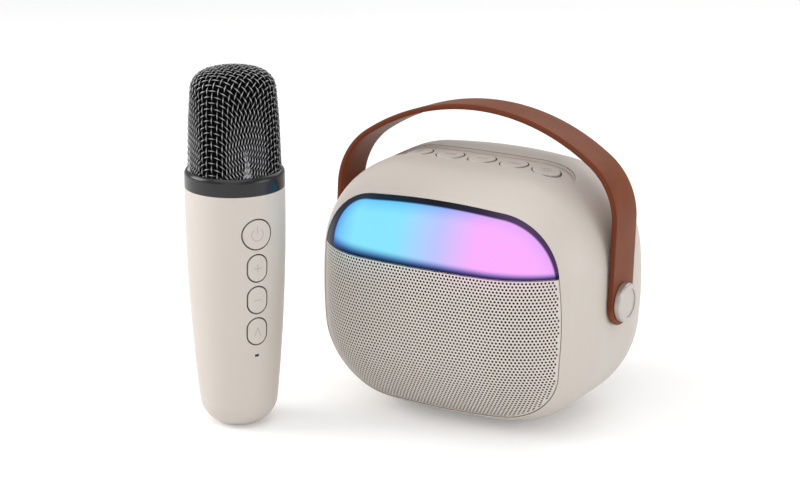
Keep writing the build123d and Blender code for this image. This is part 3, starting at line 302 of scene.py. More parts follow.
def add_line(bm, points, closed=True):
    """A line of vertices that know their own number in it; returns its edges."""
    order = bm.verts.layers.int.get("order") or bm.verts.layers.int.new("order")
    verts = [bm.verts.new(point) for point in points]
    for number, vert in enumerate(verts):
        vert[order] = number
    following = verts[1:] + verts[:1] if closed else verts[1:]
    return [bm.edges.new(pair) for pair in zip(verts, following)]


def grow(bm, edges, points):
    """Extrudes a line of edges out to new places, and returns the new line."""
    order = bm.verts.layers.int["order"]
    made = bmesh.ops.extrude_edge_only(bm, edges=edges)["geom"]
    verts = {part for part in made if isinstance(part, bmesh.types.BMVert)}
    for vert in verts:
        vert.co = points[vert[order]]
    return [part for part in made if isinstance(part, bmesh.types.BMEdge)
            and verts.issuperset(part.verts)]


def on_sheet(points, depth):
    """Points in x and z with a depth as their y."""
    return np.insert(points, 1, depth, axis=1)


def cut_across(bm, place, normal):
    """Cuts a mesh along a plane."""
    bmesh.ops.bisect_plane(bm, geom=bm.verts[:] + bm.edges[:] + bm.faces[:], plane_co=place,
                           plane_no=normal)


def positions(bm):
    """The places of a bmesh's vertices as an array."""
    return np.array([vert.co[:] for vert in bm.verts])


def move_to(bm, places):
    """Puts a bmesh's vertices at the places in an array."""
    for vert, place in zip(bm.verts, places):
        vert.co = place


def lay_on_front(bm):
    """Lays a sheet drawn in x and z on the cabinet's front; each y holds the depth below it."""
    flat = positions(bm)
    for start in range(0, len(flat), PORTION):
        some = flat[start:start + PORTION]
        some[:, 1] = front_skin(some[:, 0], some[:, 2], some[:, 1])
    move_to(bm, flat * MM)


def band(low, high, margin):
    """The opening's outline with a margin, cut off straight at a low and a high z."""
    loop = closed_loop(drawn_in(OPENING, margin), BAND_COUNTS, (0.0, OPENING_Z))
    points = []
    for here, there in zip(loop, np.roll(loop, -1, axis=0)):
        if low <= here[1] <= high:
            points.append(here)
        for level in (low, high):
            if (here[1] - level) * (there[1] - level) < 0:
                share = (level - here[1]) / (there[1] - here[1])
                end = here + (there - here) * share
                if points and abs(points[-1][1] - level) < 0.001:
                    steps = np.linspace(0, 1, CUT_COUNT)[1:-1, None]
                    points.extend(points[-1] + (end - points[-1]) * steps)
                points.append(end)
    return np.array(points)


def lens_finish():
    """A dark lens whose light comes from its glow, lit and border attributes."""
    finish = Finish("glowing lens", (0.004, 0.004, 0.005), 0.35, Specular_IOR_Level=0.1)
    inside = finish.attribute("lit")
    edge = finish.node("ShaderNodeMapRange", From_Min=0.0, From_Max=0.7, To_Max=1.0)
    edge.interpolation_type = "SMOOTHSTEP"
    wire(finish.tree, (inside.outputs["Fac"], edge.inputs["Value"]),
         (finish.attribute("border").outputs["Fac"], edge.inputs["To Min"]))
    finish.join(finish.attribute("glow").outputs["Color"], "Emission Color")
    finish.join(edge.outputs["Result"], "Emission Strength")
    return finish.material


def leather_finish():
    """Brown leather with pores and soft creases, and a darker painted edge with less bump."""
    finish = Finish("brown leather", (0.245, 0.072, 0.030), 0.45, Specular_IOR_Level=0.1)
    inside = finish.attribute("painted")
    face = finish.node("ShaderNodeMapRange", From_Min=0.25, From_Max=1.0)
    wire(finish.tree, (inside.outputs["Fac"], face.inputs["Value"]))
    tone = finish.group(TONE, Colour=(*finish.colour, 1.0), Scale=90.0, Amount=0.35)
    mix = finish.node("ShaderNodeMix")
    mix.data_type = "RGBA"
    mix.inputs["A"].default_value = (0.155, 0.038, 0.016, 1.0)
    wire(finish.tree, (face.outputs["Result"], mix.inputs["Factor"]),
         (tone.outputs["Colour"], mix.inputs["B"]))
    finish.join(mix.outputs["Result"], "Base Color")
    pores = finish.node("ShaderNodeTexVoronoi", Scale=1700.0)
    creases = finish.node("ShaderNodeTexNoise", Scale=420.0, Detail=5.0)
    height = finish.node("ShaderNodeMath")
    height.operation = "MULTIPLY"
    bump = finish.node("ShaderNodeBump", Distance=0.00011)
    wire(finish.tree, (finish.place, pores.inputs["Vector"]),
         (finish.place, creases.inputs["Vector"]),
         (pores.outputs["Distance"], height.inputs[0]), (creases.outputs["Fac"], height.inputs[1]),
         (height.outputs["Value"], bump.inputs["Height"]),
         (face.outputs["Result"], bump.inputs["Strength"]))
    finish.join(bump.outputs["Normal"], "Normal")
    return finish.material


def wire_finish():
    """Blackened wire whose crests, held in an attribute, get a pale colour: a painted highlight on
    the knuckles.
    """
    finish = Finish("black wire", (0.02, 0.02, 0.02), 0.3, 0.5)
    crest_highlight = finish.node("ShaderNodeMapRange", From_Min=0.12, From_Max=0.5)
    mix = finish.node("ShaderNodeMix")
    mix.data_type = "RGBA"
    mix.inputs["A"].default_value = (0.022, 0.022, 0.023, 1.0)
    # painted highlight: the pale colour given to the crests
    mix.inputs["B"].default_value = (0.50, 0.50, 0.51, 1.0)
    wire(finish.tree, (finish.attribute("crest").outputs["Fac"], crest_highlight.inputs["Value"]),
         (crest_highlight.outputs["Result"], mix.inputs["Factor"]))
    finish.join(mix.outputs["Result"], "Base Color")
    return finish.material


def grille_finish():
    """Cream paint with the panel's light painted on as emission, held in its spill attribute."""
    finish = Finish("painted grille", (0.72, 0.66, 0.60), 0.45)
    finish.grained(2600.0, 0.000008)
    finish.toned(40.0, 0.05)
    finish.join(finish.attribute("spill").outputs["Color"], "Emission Color")
    finish.put("Emission Strength", 1.0)
    return finish.material


CREAM = (0.66, 0.60, 0.54)
finishes = {
    "cream_shell": plain_finish("cream moulded plastic", CREAM, 0.42, grain=(2600.0, 0.000006)),
    "cream_key": plain_finish("cream keys", CREAM, 0.40, grain=(2600.0, 0.000006)),
    "moulded_mark": plain_finish("moulded mark", (0.50, 0.45, 0.40), 0.5),
    "painted_grille": grille_finish(),
    "lit_lens": lens_finish(),
    "dust_cloth": plain_finish("dust cloth", (0.006, 0.006, 0.006), 0.9,
                               Specular_IOR_Level=0.0),
    "milky_diffuser": plain_finish("milky diffuser", (0.8, 0.8, 0.8), 0.5),
    "black_plastic": plain_finish("black plastic", (0.02, 0.02, 0.02), 0.5),
    "black_gloss": plain_finish("black gloss", (0.008, 0.008, 0.009), 0.24),
    "circuit_board": plain_finish("solder resist", (0.01, 0.09, 0.03), 0.35),
    "led": plain_finish("white packages", (0.8, 0.8, 0.7), 0.4),
    "steel": plain_finish("plated steel", (0.55, 0.55, 0.56), 0.3, 1.0),
    "basket_paint": plain_finish("black paint", (0.02, 0.02, 0.02), 0.4),
    "ferrite": plain_finish("ferrite", (0.03, 0.03, 0.035), 0.6),
    "surround_rubber": plain_finish("surround rubber", (0.015, 0.015, 0.015), 0.6),
    "spider_cloth": plain_finish("spider cloth", (0.4, 0.24, 0.06), 0.8),
    "cone_paper": plain_finish("cone paper", (0.02, 0.02, 0.02), 0.7),
    "brown_leather": leather_finish(),
    "brass": plain_finish("brass", (0.7, 0.5, 0.2), 0.3, 1.0),
    "knob_metal": plain_finish("satin knob", (0.56, 0.525, 0.49), 0.32, 0.7),
    "cell_wrap": plain_finish("cell wrap", (0.02, 0.08, 0.35), 0.35),
    "pad_rubber": plain_finish("pad rubber", (0.02, 0.02, 0.02), 0.7),
    "mesh_metal": wire_finish(),
    "black_foam": plain_finish("black foam", (0.004, 0.004, 0.004), 1.0,
                               Specular_IOR_Level=0.0),
    "capsule_metal": plain_finish("capsule", (0.5, 0.5, 0.5), 0.3, 1.0),
    "cup_rubber": plain_finish("cup rubber", (0.02, 0.02, 0.02), 0.7),
    "clear_pipe": plain_finish("dark light pipe", (0.01, 0.01, 0.01), 0.2),
}
slot_of = {entry["node"]: entry["material_slot"] for entry in frame["record"]["subparts"]}
for name, cad_node in nodes.items():
    cad_node.data.materials.clear()
    cad_node.data.materials.append(finishes[slot_of[name]])


def depth_inside(outline, points):
    """How far points lie inside an anticlockwise outline without hollows; less than 0 outside."""
    ahead = np.roll(outline, -1, axis=0) - outline
    ahead /= np.hypot(*ahead.T)[:, None]
    offset = points[:, None] - outline
    return (ahead[:, 0] * offset[..., 1] - ahead[:, 1] * offset[..., 0]).min(axis=1)


def front_sheet(outline, depth, columns, rows):
    """A sheet within an outline, cut into squares so that it can be laid on the front."""
    bm = bmesh.new()
    add_line(bm, on_sheet(outline, depth))
    bm.faces.new(bm.verts)
    low, high = outline.min(axis=0), outline.max(axis=0)
    for axis, across, count in ((0, 0, columns), (2, 1, rows)):
        for level in np.linspace(low[across], high[across], count + 1)[1:-1]:
            place = [0, depth, 0]
            place[axis] = level
            cut_across(bm, place, [axis == 0, 0, axis == 2])
    return bm


def add_wall(bm, edges, depth):
    """Folds the rim of a sheet back to a depth."""
    made = bmesh.ops.extrude_edge_only(bm, edges=edges)["geom"]
    for vert in made:
        if isinstance(vert, bmesh.types.BMVert):
            vert.co.y = depth
    for edge in edges:
        edge.smooth = False


# ---- Grille: a sheet punched in a honeycomb pattern, with a dust cloth behind it ----
PITCH = 1.6                     # hole to hole along a row, over the surface
ROW_PITCH = PITCH * sqrt(0.75)
HOLE_RADIUS = 0.51
COLUMNS, ROW_PAIRS = 83, 27
FIRST_ROW_GAP = 0.9             # grille's top edge to the first row
PLAIN_BORDER = 0.75             # outline to the nearest hole's centre
GRILLE_SINK = 0.45              # below the shell's skin
GRILLE_THICKNESS = 0.2
GRILLE_FOLD = 1.6               # where its folded edge ends
CLOTH_SINK = 1.0
SPILL_SHARE, SPILL_REACH = 0.16, 5.0      # painted light: glow that the panel throws on the grille below it, put on as emission
SPILL_TONES = {-58: (0.0, 0.1, 0.1), -35: (0.0, 0.7, 0.9), -10: (0.0, 0.3, 0.4),
               5: (0.1, 0.05, 0.2), 20: (0.6, 0.05, 0.6), 40: (0.8, 0.1, 0.8),
               58: (0.3, 0.0, 0.3)}       # the painted spill's colour at each x


def repeat(bm, step, times):
    """Copies everything in a bmesh, each copy one step on from the last."""
    whole = bm.verts[:] + bm.edges[:] + bm.faces[:]
    for number in range(1, times):
        made = bmesh.ops.duplicate(bm, geom=whole)["geom"]
        bmesh.ops.translate(bm, vec=Vector(step) * number,
                            verts=[part for part in made if isinstance(part, bmesh.types.BMVert)])


def between_stops(x, stops):
    """Values at each x, given those at a few stops along the cabinet's width."""
    columns = np.reshape(list(stops.values()), (len(stops), -1)).T
    return np.stack([np.interp(x, list(stops), column) for column in columns], axis=-1)


def punched_cell():
    """One hexagon of the sheet with its round hole and the hole's wall."""
    bm = bmesh.new()
    bmesh.ops.create_circle(bm, segments=6, radius=PITCH / sqrt(3))
    outer = bm.edges[:]
    bmesh.ops.create_circle(bm, segments=12, radius=HOLE_RADIUS)
    rim = [edge for edge in bm.edges if edge not in outer]
    bmesh.ops.rotate(bm, verts=bm.verts, matrix=Matrix.Rotation(pi / 2, 3, "X"))
    bmesh.ops.triangle_fill(bm, edges=bm.edges, use_beauty=True, normal=(0, -1, 0))
    add_wall(bm, rim, GRILLE_THICKNESS)
    bmesh.ops.recalc_face_normals(bm, faces=bm.faces)
    bmesh.ops.translate(bm, vec=(0, GRILLE_SINK, 0), verts=bm.verts)
    put_in_order(bm)
    return bm


def walked(x, z):
    """Distances walked over the front along a line of points."""
    y = front_skin(x, z, np.zeros(len(x)))
    return np.r_[0, np.cumsum(np.sqrt(np.diff(x) ** 2 + np.diff(y) ** 2 + np.diff(z) ** 2))]


def spread_over_front(flat):
    """Turns distances over the front, from the first row's middle, into x and z."""
    x_line = np.linspace(0, OPENING[0] + 3, 200)
    z_line = np.linspace(SEAM_Z + 3, OPENING_Z - OPENING[1] - 3, 200)
    x_walked = walked(x_line, np.full(200, OPENING_Z))
    z_walked = walked(np.zeros(200), z_line)
    first = np.interp(FIRST_ROW_GAP + SEAM_GAP + 3, SEAM_Z + 3 - z_line, z_walked)
    flat[:, 0] = np.sign(flat[:, 0]) * np.interp(np.abs(flat[:, 0]), x_walked, x_line)
    flat[:, 2] = np.interp(first - flat[:, 2], z_walked, z_line)
    return flat


bm = punched_cell()
cell_size = len(bm.verts)
repeat(bm, (PITCH, 0, 0), COLUMNS)
repeat(bm, (PITCH / 2, 0, -ROW_PITCH), 2)
repeat(bm, (0, 0, -2 * ROW_PITCH), ROW_PAIRS)
bmesh.ops.translate(bm, vec=(-PITCH * COLUMNS / 2, 0, 0), verts=bm.verts)
holes = spread_over_front(positions(bm).reshape(-1, cell_size, 3).mean(axis=1))
outline = band(-1, SEAM_Z - SEAM_GAP, SKIN_GAP)
kept = depth_inside(outline, holes[:, [0, 2]]) > PLAIN_BORDER
move_to(bm, spread_over_front(positions(bm)))
dropped = np.repeat(~kept, cell_size)
bmesh.ops.delete(bm, geom=[vert for vert, drop in zip(bm.verts, dropped) if drop],
                 context="VERTS")
bmesh.ops.remove_doubles(bm, verts=bm.verts, dist=0.01)
jagged = [edge for edge in bm.edges if edge.is_boundary
          and edge.verts[0].co.y + edge.verts[1].co.y < 2 * GRILLE_SINK + GRILLE_THICKNESS]
rim = add_line(bm, on_sheet(outline, GRILLE_SINK))
bmesh.ops.triangle_fill(bm, edges=jagged + rim, use_beauty=True, normal=(0, -1, 0))
add_wall(bm, rim, GRILLE_FOLD)
# painted light: the panel's glow on the grille's top rows, fading downwards
spill = bm.verts.layers.float_color.new("spill")
places = positions(bm)
shares = SPILL_SHARE * np.exp((places[:, 2:] - SEAM_Z) / SPILL_REACH)
for vert, tone in zip(bm.verts, shares * between_stops(places[:, 0], SPILL_TONES)):
    vert[spill] = (*tone, 1.0)
lay_on_front(bm)
grille = piece_from(bm, "punched_grille", finishes["painted_grille"], "speaker")
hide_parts("grille")

bm = front_sheet(band(-1, SEAM_Z - SEAM_GAP, SKIN_GAP + 1), CLOTH_SINK, columns=40, rows=24)
lay_on_front(bm)
cloth = piece_from(bm, "dust_cloth", finishes["dust_cloth"], "speaker")


# ---- Light panel: a dark lens with a glowing middle ----
LENS_SINK = 0.35
LENS_FOLD = 1.35
LIT_RIGHT = (56.6, 45.8, 27.5, 655.0, 322.0)   # forms of the glowing region's two ends
LIT_LEFT = (49.1, 45.8, 17.7, 3000.0, 309.0)
RIM_DEEPENS = (0.45, 0.22, 0.0)           # powers: the glow turns bluer towards its rim
RIM_WIDTH, RIM_LEAST = 6.0, 0.15
FADE_LEFT, FADE_RIGHT = 3.2, 1.6          # height over the seam where half of the light is left
FADE_POWER = np.array([1.6, 1.35, 0.9])   # red fades first
BLUE, CYAN = (0.10, 0.40, 0.96), (0.25, 0.78, 1.0)
LILAC, PINK = (0.52, 0.56, 1.0), (0.97, 0.44, 1.0)
GLOW = {-52: BLUE, -36: CYAN, -14: CYAN, 6: LILAC, 24: PINK, 56: PINK}    # its colour at each x
RIM_BLUE = {0: 1.0, 30: 0.3}    # how far it turns bluer, at each x
BORDER_LIGHT = {-50: 0.045, -20: 0.03, 0: 0.008, 20: 0.03, 40: 0.10, 56: 0.08}


def inside_lit(x, z):
    """How far points of the lens lie inside the glowing region."""
    left, right = (depth_inside(closed_loop(form, LOOP_COUNTS, (0, OPENING_Z)),
                                np.stack([x, z], axis=-1)) for form in (LIT_LEFT, LIT_RIGHT))
    return np.where(x < 0, left, right)


def glow_at(x, z):
    """The light's colour at points of the lens, from cyan at the left to pink at the right."""
    half = between_stops(x, {-LIT_LEFT[0]: FADE_LEFT, LIT_RIGHT[0]: FADE_RIGHT})
    share = smooth_step((z[:, None] - SEAM_Z) / (2 * half))
    rim = np.clip(RIM_LEAST + inside_lit(x, z) / RIM_WIDTH, RIM_LEAST, 1)[:, None]
    rim = rim ** between_stops(x, RIM_BLUE)
    return between_stops(x, GLOW) * share ** FADE_POWER * rim ** RIM_DEEPENS


bm = front_sheet(band(SEAM_Z + SEAM_GAP, OPENING_Z + OPENING[1], SKIN_GAP), LENS_SINK,
                 columns=100, rows=60)
add_wall(bm, [edge for edge in bm.edges if edge.is_boundary], LENS_FOLD)
places = positions(bm)[:, [0, 2]]
glow = bm.verts.layers.float_color.new("glow")
lit = bm.verts.layers.float.new("lit")
border = bm.verts.layers.float.new("border")
for vert, colour, inside, least in zip(bm.verts, glow_at(*places.T), inside_lit(*places.T),
                                       between_stops(places[:, 0], BORDER_LIGHT)[:, 0]):
    vert[glow] = (*colour, 1.0)
    vert[lit] = inside
    vert[border] = least
lay_on_front(bm)
lens = piece_from(bm, "glowing_lens", finishes["lit_lens"], "speaker")
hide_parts("light_lens")

# ---- Bezel: the shell's smooth lip round the grille and the lens ----
BEZEL_LIP = ((0.0, 1.8), (0.0, 0.42), (-0.06, 0.2), (-0.17, 0.05), (-0.32, -0.03),
             (-0.5, -0.06))     # margin and depth
BEZEL_LAP = 2.6                 # how far it reaches over the shell
BEZEL_RINGS = 9
BEZEL_FEATHER = 0.1             # depth that its outer edge sinks to

bm = bmesh.new()
rings = [on_sheet(closed_loop(drawn_in(OPENING, margin), LOOP_COUNTS, (0, OPENING_Z)), depth)
         for margin, depth in BEZEL_LIP]
outer = on_sheet(closed_loop(drawn_in(SHELL_OPENING, -BEZEL_LAP), LOOP_COUNTS,
                             (0, SHELL_OPENING_Z)), BEZEL_LIP[-1][1])
rings += [rings[-1] + (outer - rings[-1]) * share for share in np.linspace(0, 1, BEZEL_RINGS)[1:]]
rings[-1][:, 1] = BEZEL_FEATHER
loop = add_line(bm, rings[0])
for ring in rings[1:]:
    loop = grow(bm, loop, ring)
lay_on_front(bm)
bmesh.ops.recalc_face_normals(bm, faces=bm.faces)
if sum(face.normal.y for face in bm.faces) > 0:
    bmesh.ops.reverse_faces(bm, faces=bm.faces)
bezel = piece_from(bm, "front_bezel", finishes["cream_shell"], "speaker")


# ---- Microphone head: woven wire drawn over a round-topped form ----
HEAD_X, HEAD_Y = -79.1, -77.2
HEAD_TURN = radians(5.2)        # direction of the wires that cross its top
HEAD_TOP, HEAD_DOME, HEAD_ROUNDING = 158.0, 45.0, 9.0
HEAD_SIDE = np.array([(18.0, 154.0), (19.4, 135.0), (20.1, 113.1), (21.5, 70.0)])  # radius, z
HEAD_FOOT = 113.4               # wires are cut off here, inside the collar
HEAD_HEART = 147.0              # wires are pressed on from here, and level below it
WIRE_PITCH = 2.6
WIRE_RADIUS = 0.22
WIRE_WAVE = 0.32                # over and under
WIRE_SINK = 0.5                 # below the head's outer surface
WIRE_COUNT = 24                 # on each side of the middle
TIGHT = 26.0                    # distance from a crown wire at which the weave is closed up
FLAT_REACH, HANGING_REACH = 8.0, 30.0     # wires lie flat so far from the top, and hang beyond
FANNED = 0.85                   # how far hanging wires gather towards the corners
STIFFNESS, BEND_STIFFNESS = 0.2, 0.04     # shares of a fault that one round takes away
CLOSEST = 1.4                   # least width of a cell, corner to corner


def head_profile():
    """Radius and height of points from the head's top down its side."""
    side = HEAD_SIDE[0] - HEAD_SIDE[1]
    side /= np.hypot(*side)
    outward = np.array([side[1], -side[0]])
    middle = np.array([0, HEAD_TOP - HEAD_DOME])
    reach = outward @ (HEAD_SIDE[0] - middle) - HEAD_ROUNDING
    turn = middle + outward * reach + side * sqrt((HEAD_DOME - HEAD_ROUNDING) ** 2 - reach ** 2)
    meet = atan2(*(turn - middle)[::-1])
    parts = []
    for centre, radius, start, end in (
            (middle, HEAD_DOME, pi / 2, meet),
            (turn, HEAD_ROUNDING, meet, atan2(outward[1], outward[0]))):
        lean = np.linspace(start, end, 60, endpoint=False)
        parts.append(centre + radius * np.c_[np.cos(lean), np.sin(lean)])
    profile = np.vstack([*parts, HEAD_SIDE[1:]])
    slope = np.gradient(profile, axis=0)
    slope /= np.hypot(*slope.T)[:, None]
    profile += WIRE_SINK * np.c_[slope[:, 1], -slope[:, 0]]
    profile[0, 0] = 0
    walk = np.r_[0, np.cumsum(np.hypot(*np.diff(profile, axis=0).T))]
    even = np.linspace(0, walk[-1], 500)
    return even, np.stack([np.interp(even, walk, values) for values in profile.T], axis=-1)


PROFILE_WALK, PROFILE = head_profile()


def lean_of(radius, height):
    """A measure that grows from the head's top to its foot: an angle, then a depth."""
    over = height - HEAD_HEART
    return np.arctan2(radius, np.maximum(over, 0)) - np.minimum(over, 0)


PROFILE_LEAN = lean_of(*PROFILE.T)


def onto_head(points):
    """Presses points on to the head, from its heart or level from its axis."""
    away = np.hypot(points[..., 0], points[..., 1]) + 1e-9
    lean = lean_of(away, points[..., 2])
    radius = np.interp(lean, PROFILE_LEAN, PROFILE[:, 0])
    return np.stack([points[..., 0] / away * radius, points[..., 1] / away * radius,
                     np.interp(lean, PROFILE_LEAN, PROFILE[:, 1])], axis=-1)


def lift_off_head(points):
    """About how far points stand off the head: outwards and upwards together."""
    pressed = onto_head(points)
    return (np.hypot(points[:, 0], points[:, 1]) - np.hypot(pressed[:, 0], pressed[:, 1])
            + points[:, 2] - pressed[:, 2])


def first_drape(across, along):
    """A square mesh roughly draped on the head: its crossings, and which of them are on it."""
    far, near = np.maximum(abs(across), abs(along)), np.minimum(abs(across), abs(along))
    tight = np.minimum(near, TIGHT)
    bent = tight * pi / 2 / TIGHT
    drop = TIGHT * 2 / pi * (1 - np.cos(bent)) + near - tight
    blend = smooth_step((np.hypot(far, near) - FLAT_REACH) / (HANGING_REACH - FLAT_REACH))
    walk = np.hypot(far, near) * (1 - blend) + (far + drop) * blend
    fan = np.arctan2(near, far + 1e-9)
    fan = fan + FANNED * blend * (np.sin(bent) * pi / 4 - fan)
    fan = np.where(abs(along) > abs(across), pi / 2 - fan, fan)
    fan = np.where(across < 0, pi - fan, fan) * np.where(along < 0, -1, 1)
    radius = np.interp(walk, PROFILE_WALK, PROFILE[:, 0])
    height = np.interp(walk, PROFILE_WALK, PROFILE[:, 1])
    net = np.stack([np.cos(fan) * radius, np.sin(fan) * radius, height], axis=-1)
    return net, height > HEAD_FOOT - 2 * WIRE_PITCH


def pull(net, live, force, start, end, length, only_push=False):
    """Adds the force of the wires, or of a cell's stiffness, between two shifted views."""
    apart = net[end] - net[start]
    size = np.linalg.norm(apart, axis=-1) + 1e-9
    excess = size - length
    if only_push:
        excess = np.minimum(excess, 0)
    push = (STIFFNESS * excess / size * (live[start] & live[end]))[..., None] * apart
    force[start] += push
    force[end] -= push


def woven_net(rounds=500):
    """Relaxes the draped mesh until its wires keep their pitch nearly everywhere."""
    count = np.arange(-WIRE_COUNT, WIRE_COUNT + 1) * WIRE_PITCH
    net, live = first_drape(*np.meshgrid(count, count, indexing="ij"))
    every, low, high = slice(None), slice(None, -1), slice(1, None)
    for _ in range(rounds):
        force = np.zeros_like(net)
        pull(net, live, force, (low, every), (high, every), WIRE_PITCH)
        pull(net, live, force, (every, low), (every, high), WIRE_PITCH)
        pull(net, live, force, (low, low), (high, high), CLOSEST, only_push=True)
        pull(net, live, force, (low, high), (high, low), CLOSEST, only_push=True)
        for swapped in (False, True):
            line, kept, pushed = ((part.swapaxes(0, 1) if swapped else part)
                                  for part in (net, live, force))
            kink = (line[2:] + line[:-2]) / 2 - line[1:-1]
            kink *= BEND_STIFFNESS * (kept[2:] & kept[1:-1] & kept[:-2])[..., None]
            pushed[1:-1] += kink
            pushed[2:] -= kink / 2
            pushed[:-2] -= kink / 2
        net = onto_head(net + force)
    return net, live


def woven_wires(net, live):
    """The net's wires as curve points that go over and under each other."""
    ray = np.stack([net[..., 0], net[..., 1], np.maximum(net[..., 2] - HEAD_HEART, 0)], -1)
    ray /= np.linalg.norm(ray, axis=-1, keepdims=True)
    steps = np.add.outer(np.arange(len(net)), np.arange(len(net)))
    wave = ray * (WIRE_WAVE * (1 - 2 * (steps % 2)))[..., None]
    for line, lift, kept in ((net, wave, live),
                             (net.swapaxes(0, 1), -wave.swapaxes(0, 1), live.T)):
        between = onto_head((line[1:] + line[:-1]) / 2)
        for number in range(line.shape[1]):
            run = np.flatnonzero(kept[:, number])
            if len(run) < 3:
                continue
            points = np.repeat((line + lift)[run, number], 2, axis=0)[:-1]
            points[1::2] = between[run[:-1], number]
            yield points


curve = bpy.data.curves.new("woven wires", "CURVE")
curve.dimensions = "3D"
curve.bevel_depth = WIRE_RADIUS * MM
curve.bevel_resolution = 1
turn = Matrix.Translation((HEAD_X, HEAD_Y, 0)) @ Matrix.Rotation(HEAD_TURN, 4, "Z")
for points in woven_wires(*woven_net()):
    spline = curve.splines.new("POLY")
    spline.points.add(len(points) - 1)
    for point, place in zip(spline.points, points):
        point.co = (*(turn @ Vector(place) * MM), 1)
holder = link_new("woven wires", curve)
bm = bmesh.new()
bm.from_mesh(bpy.data.meshes.new_from_object(
    holder.evaluated_get(bpy.context.evaluated_depsgraph_get())))
bpy.data.objects.remove(holder)
bmesh.ops.bisect_plane(bm, geom=bm.verts[:] + bm.edges[:] + bm.faces[:],
                       plane_co=(0, 0, HEAD_FOOT * MM), plane_no=(0, 0, 1), clear_inner=True)
places = (positions(bm) / MM - [HEAD_X, HEAD_Y, 0]) @ np.array(Matrix.Rotation(HEAD_TURN, 3, "Z"))
# how far each point stands off the head, which the wire's finish turns into painted highlights on
# the crests
crest = bm.verts.layers.float.new("crest")
for vert, lift in zip(bm.verts, lift_off_head(places)):
    vert[crest] = lift
head = piece_from(bm, "woven_head", finishes["mesh_metal"], "microphone")
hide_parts("mic_mesh_head")


# ---- Strap: leather with rounded painted edges, bent over the speaker ----
STRAP_WIDTH, STRAP_THICKNESS = 20.5, 2.4
STRAP_OUTER = HALF_WIDTH + 0.3 + STRAP_THICKNESS      # half the width over its sides
STRAP_REACH = 77.9              # pivot to the arch's top
STRAP_CROWN, STRAP_CORNER = 96.5, 31.7                # radii of the arch
STRAP_LEAN = radians(4.1)
PIVOT_Y, PIVOT_Z = -3.5, 57.7
STRAP_HOLE = 3.4                # radius
STRAP_EDGE = ((0.7, 0.0), (0.3, 0.1), (0.08, 0.4), (0.0, 0.8), (0.0, 1.6), (0.08, 2.0),
              (0.3, 2.3), (0.7, 2.4))                 # margin and depth round its edge
STRAP_CUTS = 180                # cuts across it, so that it bends smoothly


def strap_line():
    """Half of the strap's outer line from the arch's top to its pivot, as x and height."""
    crown = np.array([0, STRAP_REACH - STRAP_CROWN])
    # the corner's centre is as far inside the crown's arc as inside the side's line
    corner_x = STRAP_OUTER - STRAP_CORNER
    corner = np.array([corner_x,
                       crown[1] + sqrt((STRAP_CROWN - STRAP_CORNER) ** 2 - corner_x ** 2)])
    meet = atan2(corner[1] - crown[1], corner[0])
    lean = np.linspace(pi / 2, meet, 30, endpoint=False)
    turn = np.linspace(meet, 0, 60)
    return np.vstack([crown + STRAP_CROWN * np.c_[np.cos(lean), np.sin(lean)],
                      corner + STRAP_CORNER * np.c_[np.cos(turn), np.sin(turn)],
                      [(STRAP_OUTER, -STRAP_WIDTH)]])


def bend_strap(bm):
    """Bends a flat strap over the speaker: x runs along it, y across it, z is its depth."""
    line = strap_line()
    tangent = np.gradient(line, axis=0)
    tangent /= np.hypot(*tangent.T)[:, None]
    walk = np.r_[0, np.cumsum(np.hypot(*np.diff(line, axis=0).T))]
    flat = positions(bm)
    side, along = np.sign(flat[:, 0]), np.abs(flat[:, 0])
    x, height, run, fall = (np.interp(along, walk, values)
                            for values in (*line.T, *tangent.T))
    x = x + fall * flat[:, 2]
    height = height - run * flat[:, 2]
    back = flat[:, 1]
    move_to(bm, MM * np.c_[side * x,
                           PIVOT_Y + back * cos(STRAP_LEAN) + height * sin(STRAP_LEAN),
                           PIVOT_Z + height * cos(STRAP_LEAN) - back * sin(STRAP_LEAN)])


def stadium(margin, count=24):
    """The flat strap's outline, drawn in by a margin: straight sides with round ends."""
    turn = np.linspace(-pi / 2, pi / 2, count)
    end = (STRAP_WIDTH / 2 - margin) * np.c_[np.cos(turn), np.sin(turn)]
    return np.vstack([end + [STRAP_PIVOT, 0], end * [-1, -1] - [STRAP_PIVOT, 0]])


STRAP_PIVOT = float(np.hypot(*np.diff(strap_line(), axis=0).T).sum()) - STRAP_WIDTH
turn = np.linspace(0, 2 * pi, 24, endpoint=False)
bm = bmesh.new()
first, *others = [np.insert(stadium(margin), 2, depth, axis=1) for margin, depth in STRAP_EDGE]
outer_face = rim = add_line(bm, first)
for ring in others:
    rim = grow(bm, rim, ring)
inner_face = rim
for x in (-STRAP_PIVOT, STRAP_PIVOT):
    hole = np.c_[STRAP_HOLE * np.cos(turn) + x, STRAP_HOLE * np.sin(turn), 0 * turn]
    near = add_line(bm, hole)
    outer_face = outer_face + near
    inner_face = inner_face + grow(bm, near, hole + [0, 0, STRAP_THICKNESS])
for loop in (outer_face, inner_face):
    bmesh.ops.triangle_fill(bm, edges=loop, use_beauty=True, normal=(0, 0, 1))
put_in_order(bm)
for x in np.linspace(-STRAP_PIVOT, STRAP_PIVOT, STRAP_CUTS):
    cut_across(bm, (x, 0, 0), (1, 0, 0))
bmesh.ops.recalc_face_normals(bm, faces=bm.faces)
painted = bm.verts.layers.float.new("painted")
for vert, across in zip(bm.verts, positions(bm)[:, 1]):
    vert[painted] = STRAP_WIDTH / 2 - abs(across)
bend_strap(bm)
bmesh.ops.recalc_face_normals(bm, faces=bm.faces)
strap = piece_from(bm, "leather_strap", finishes["brown_leather"], "handle")
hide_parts("handle_strap")
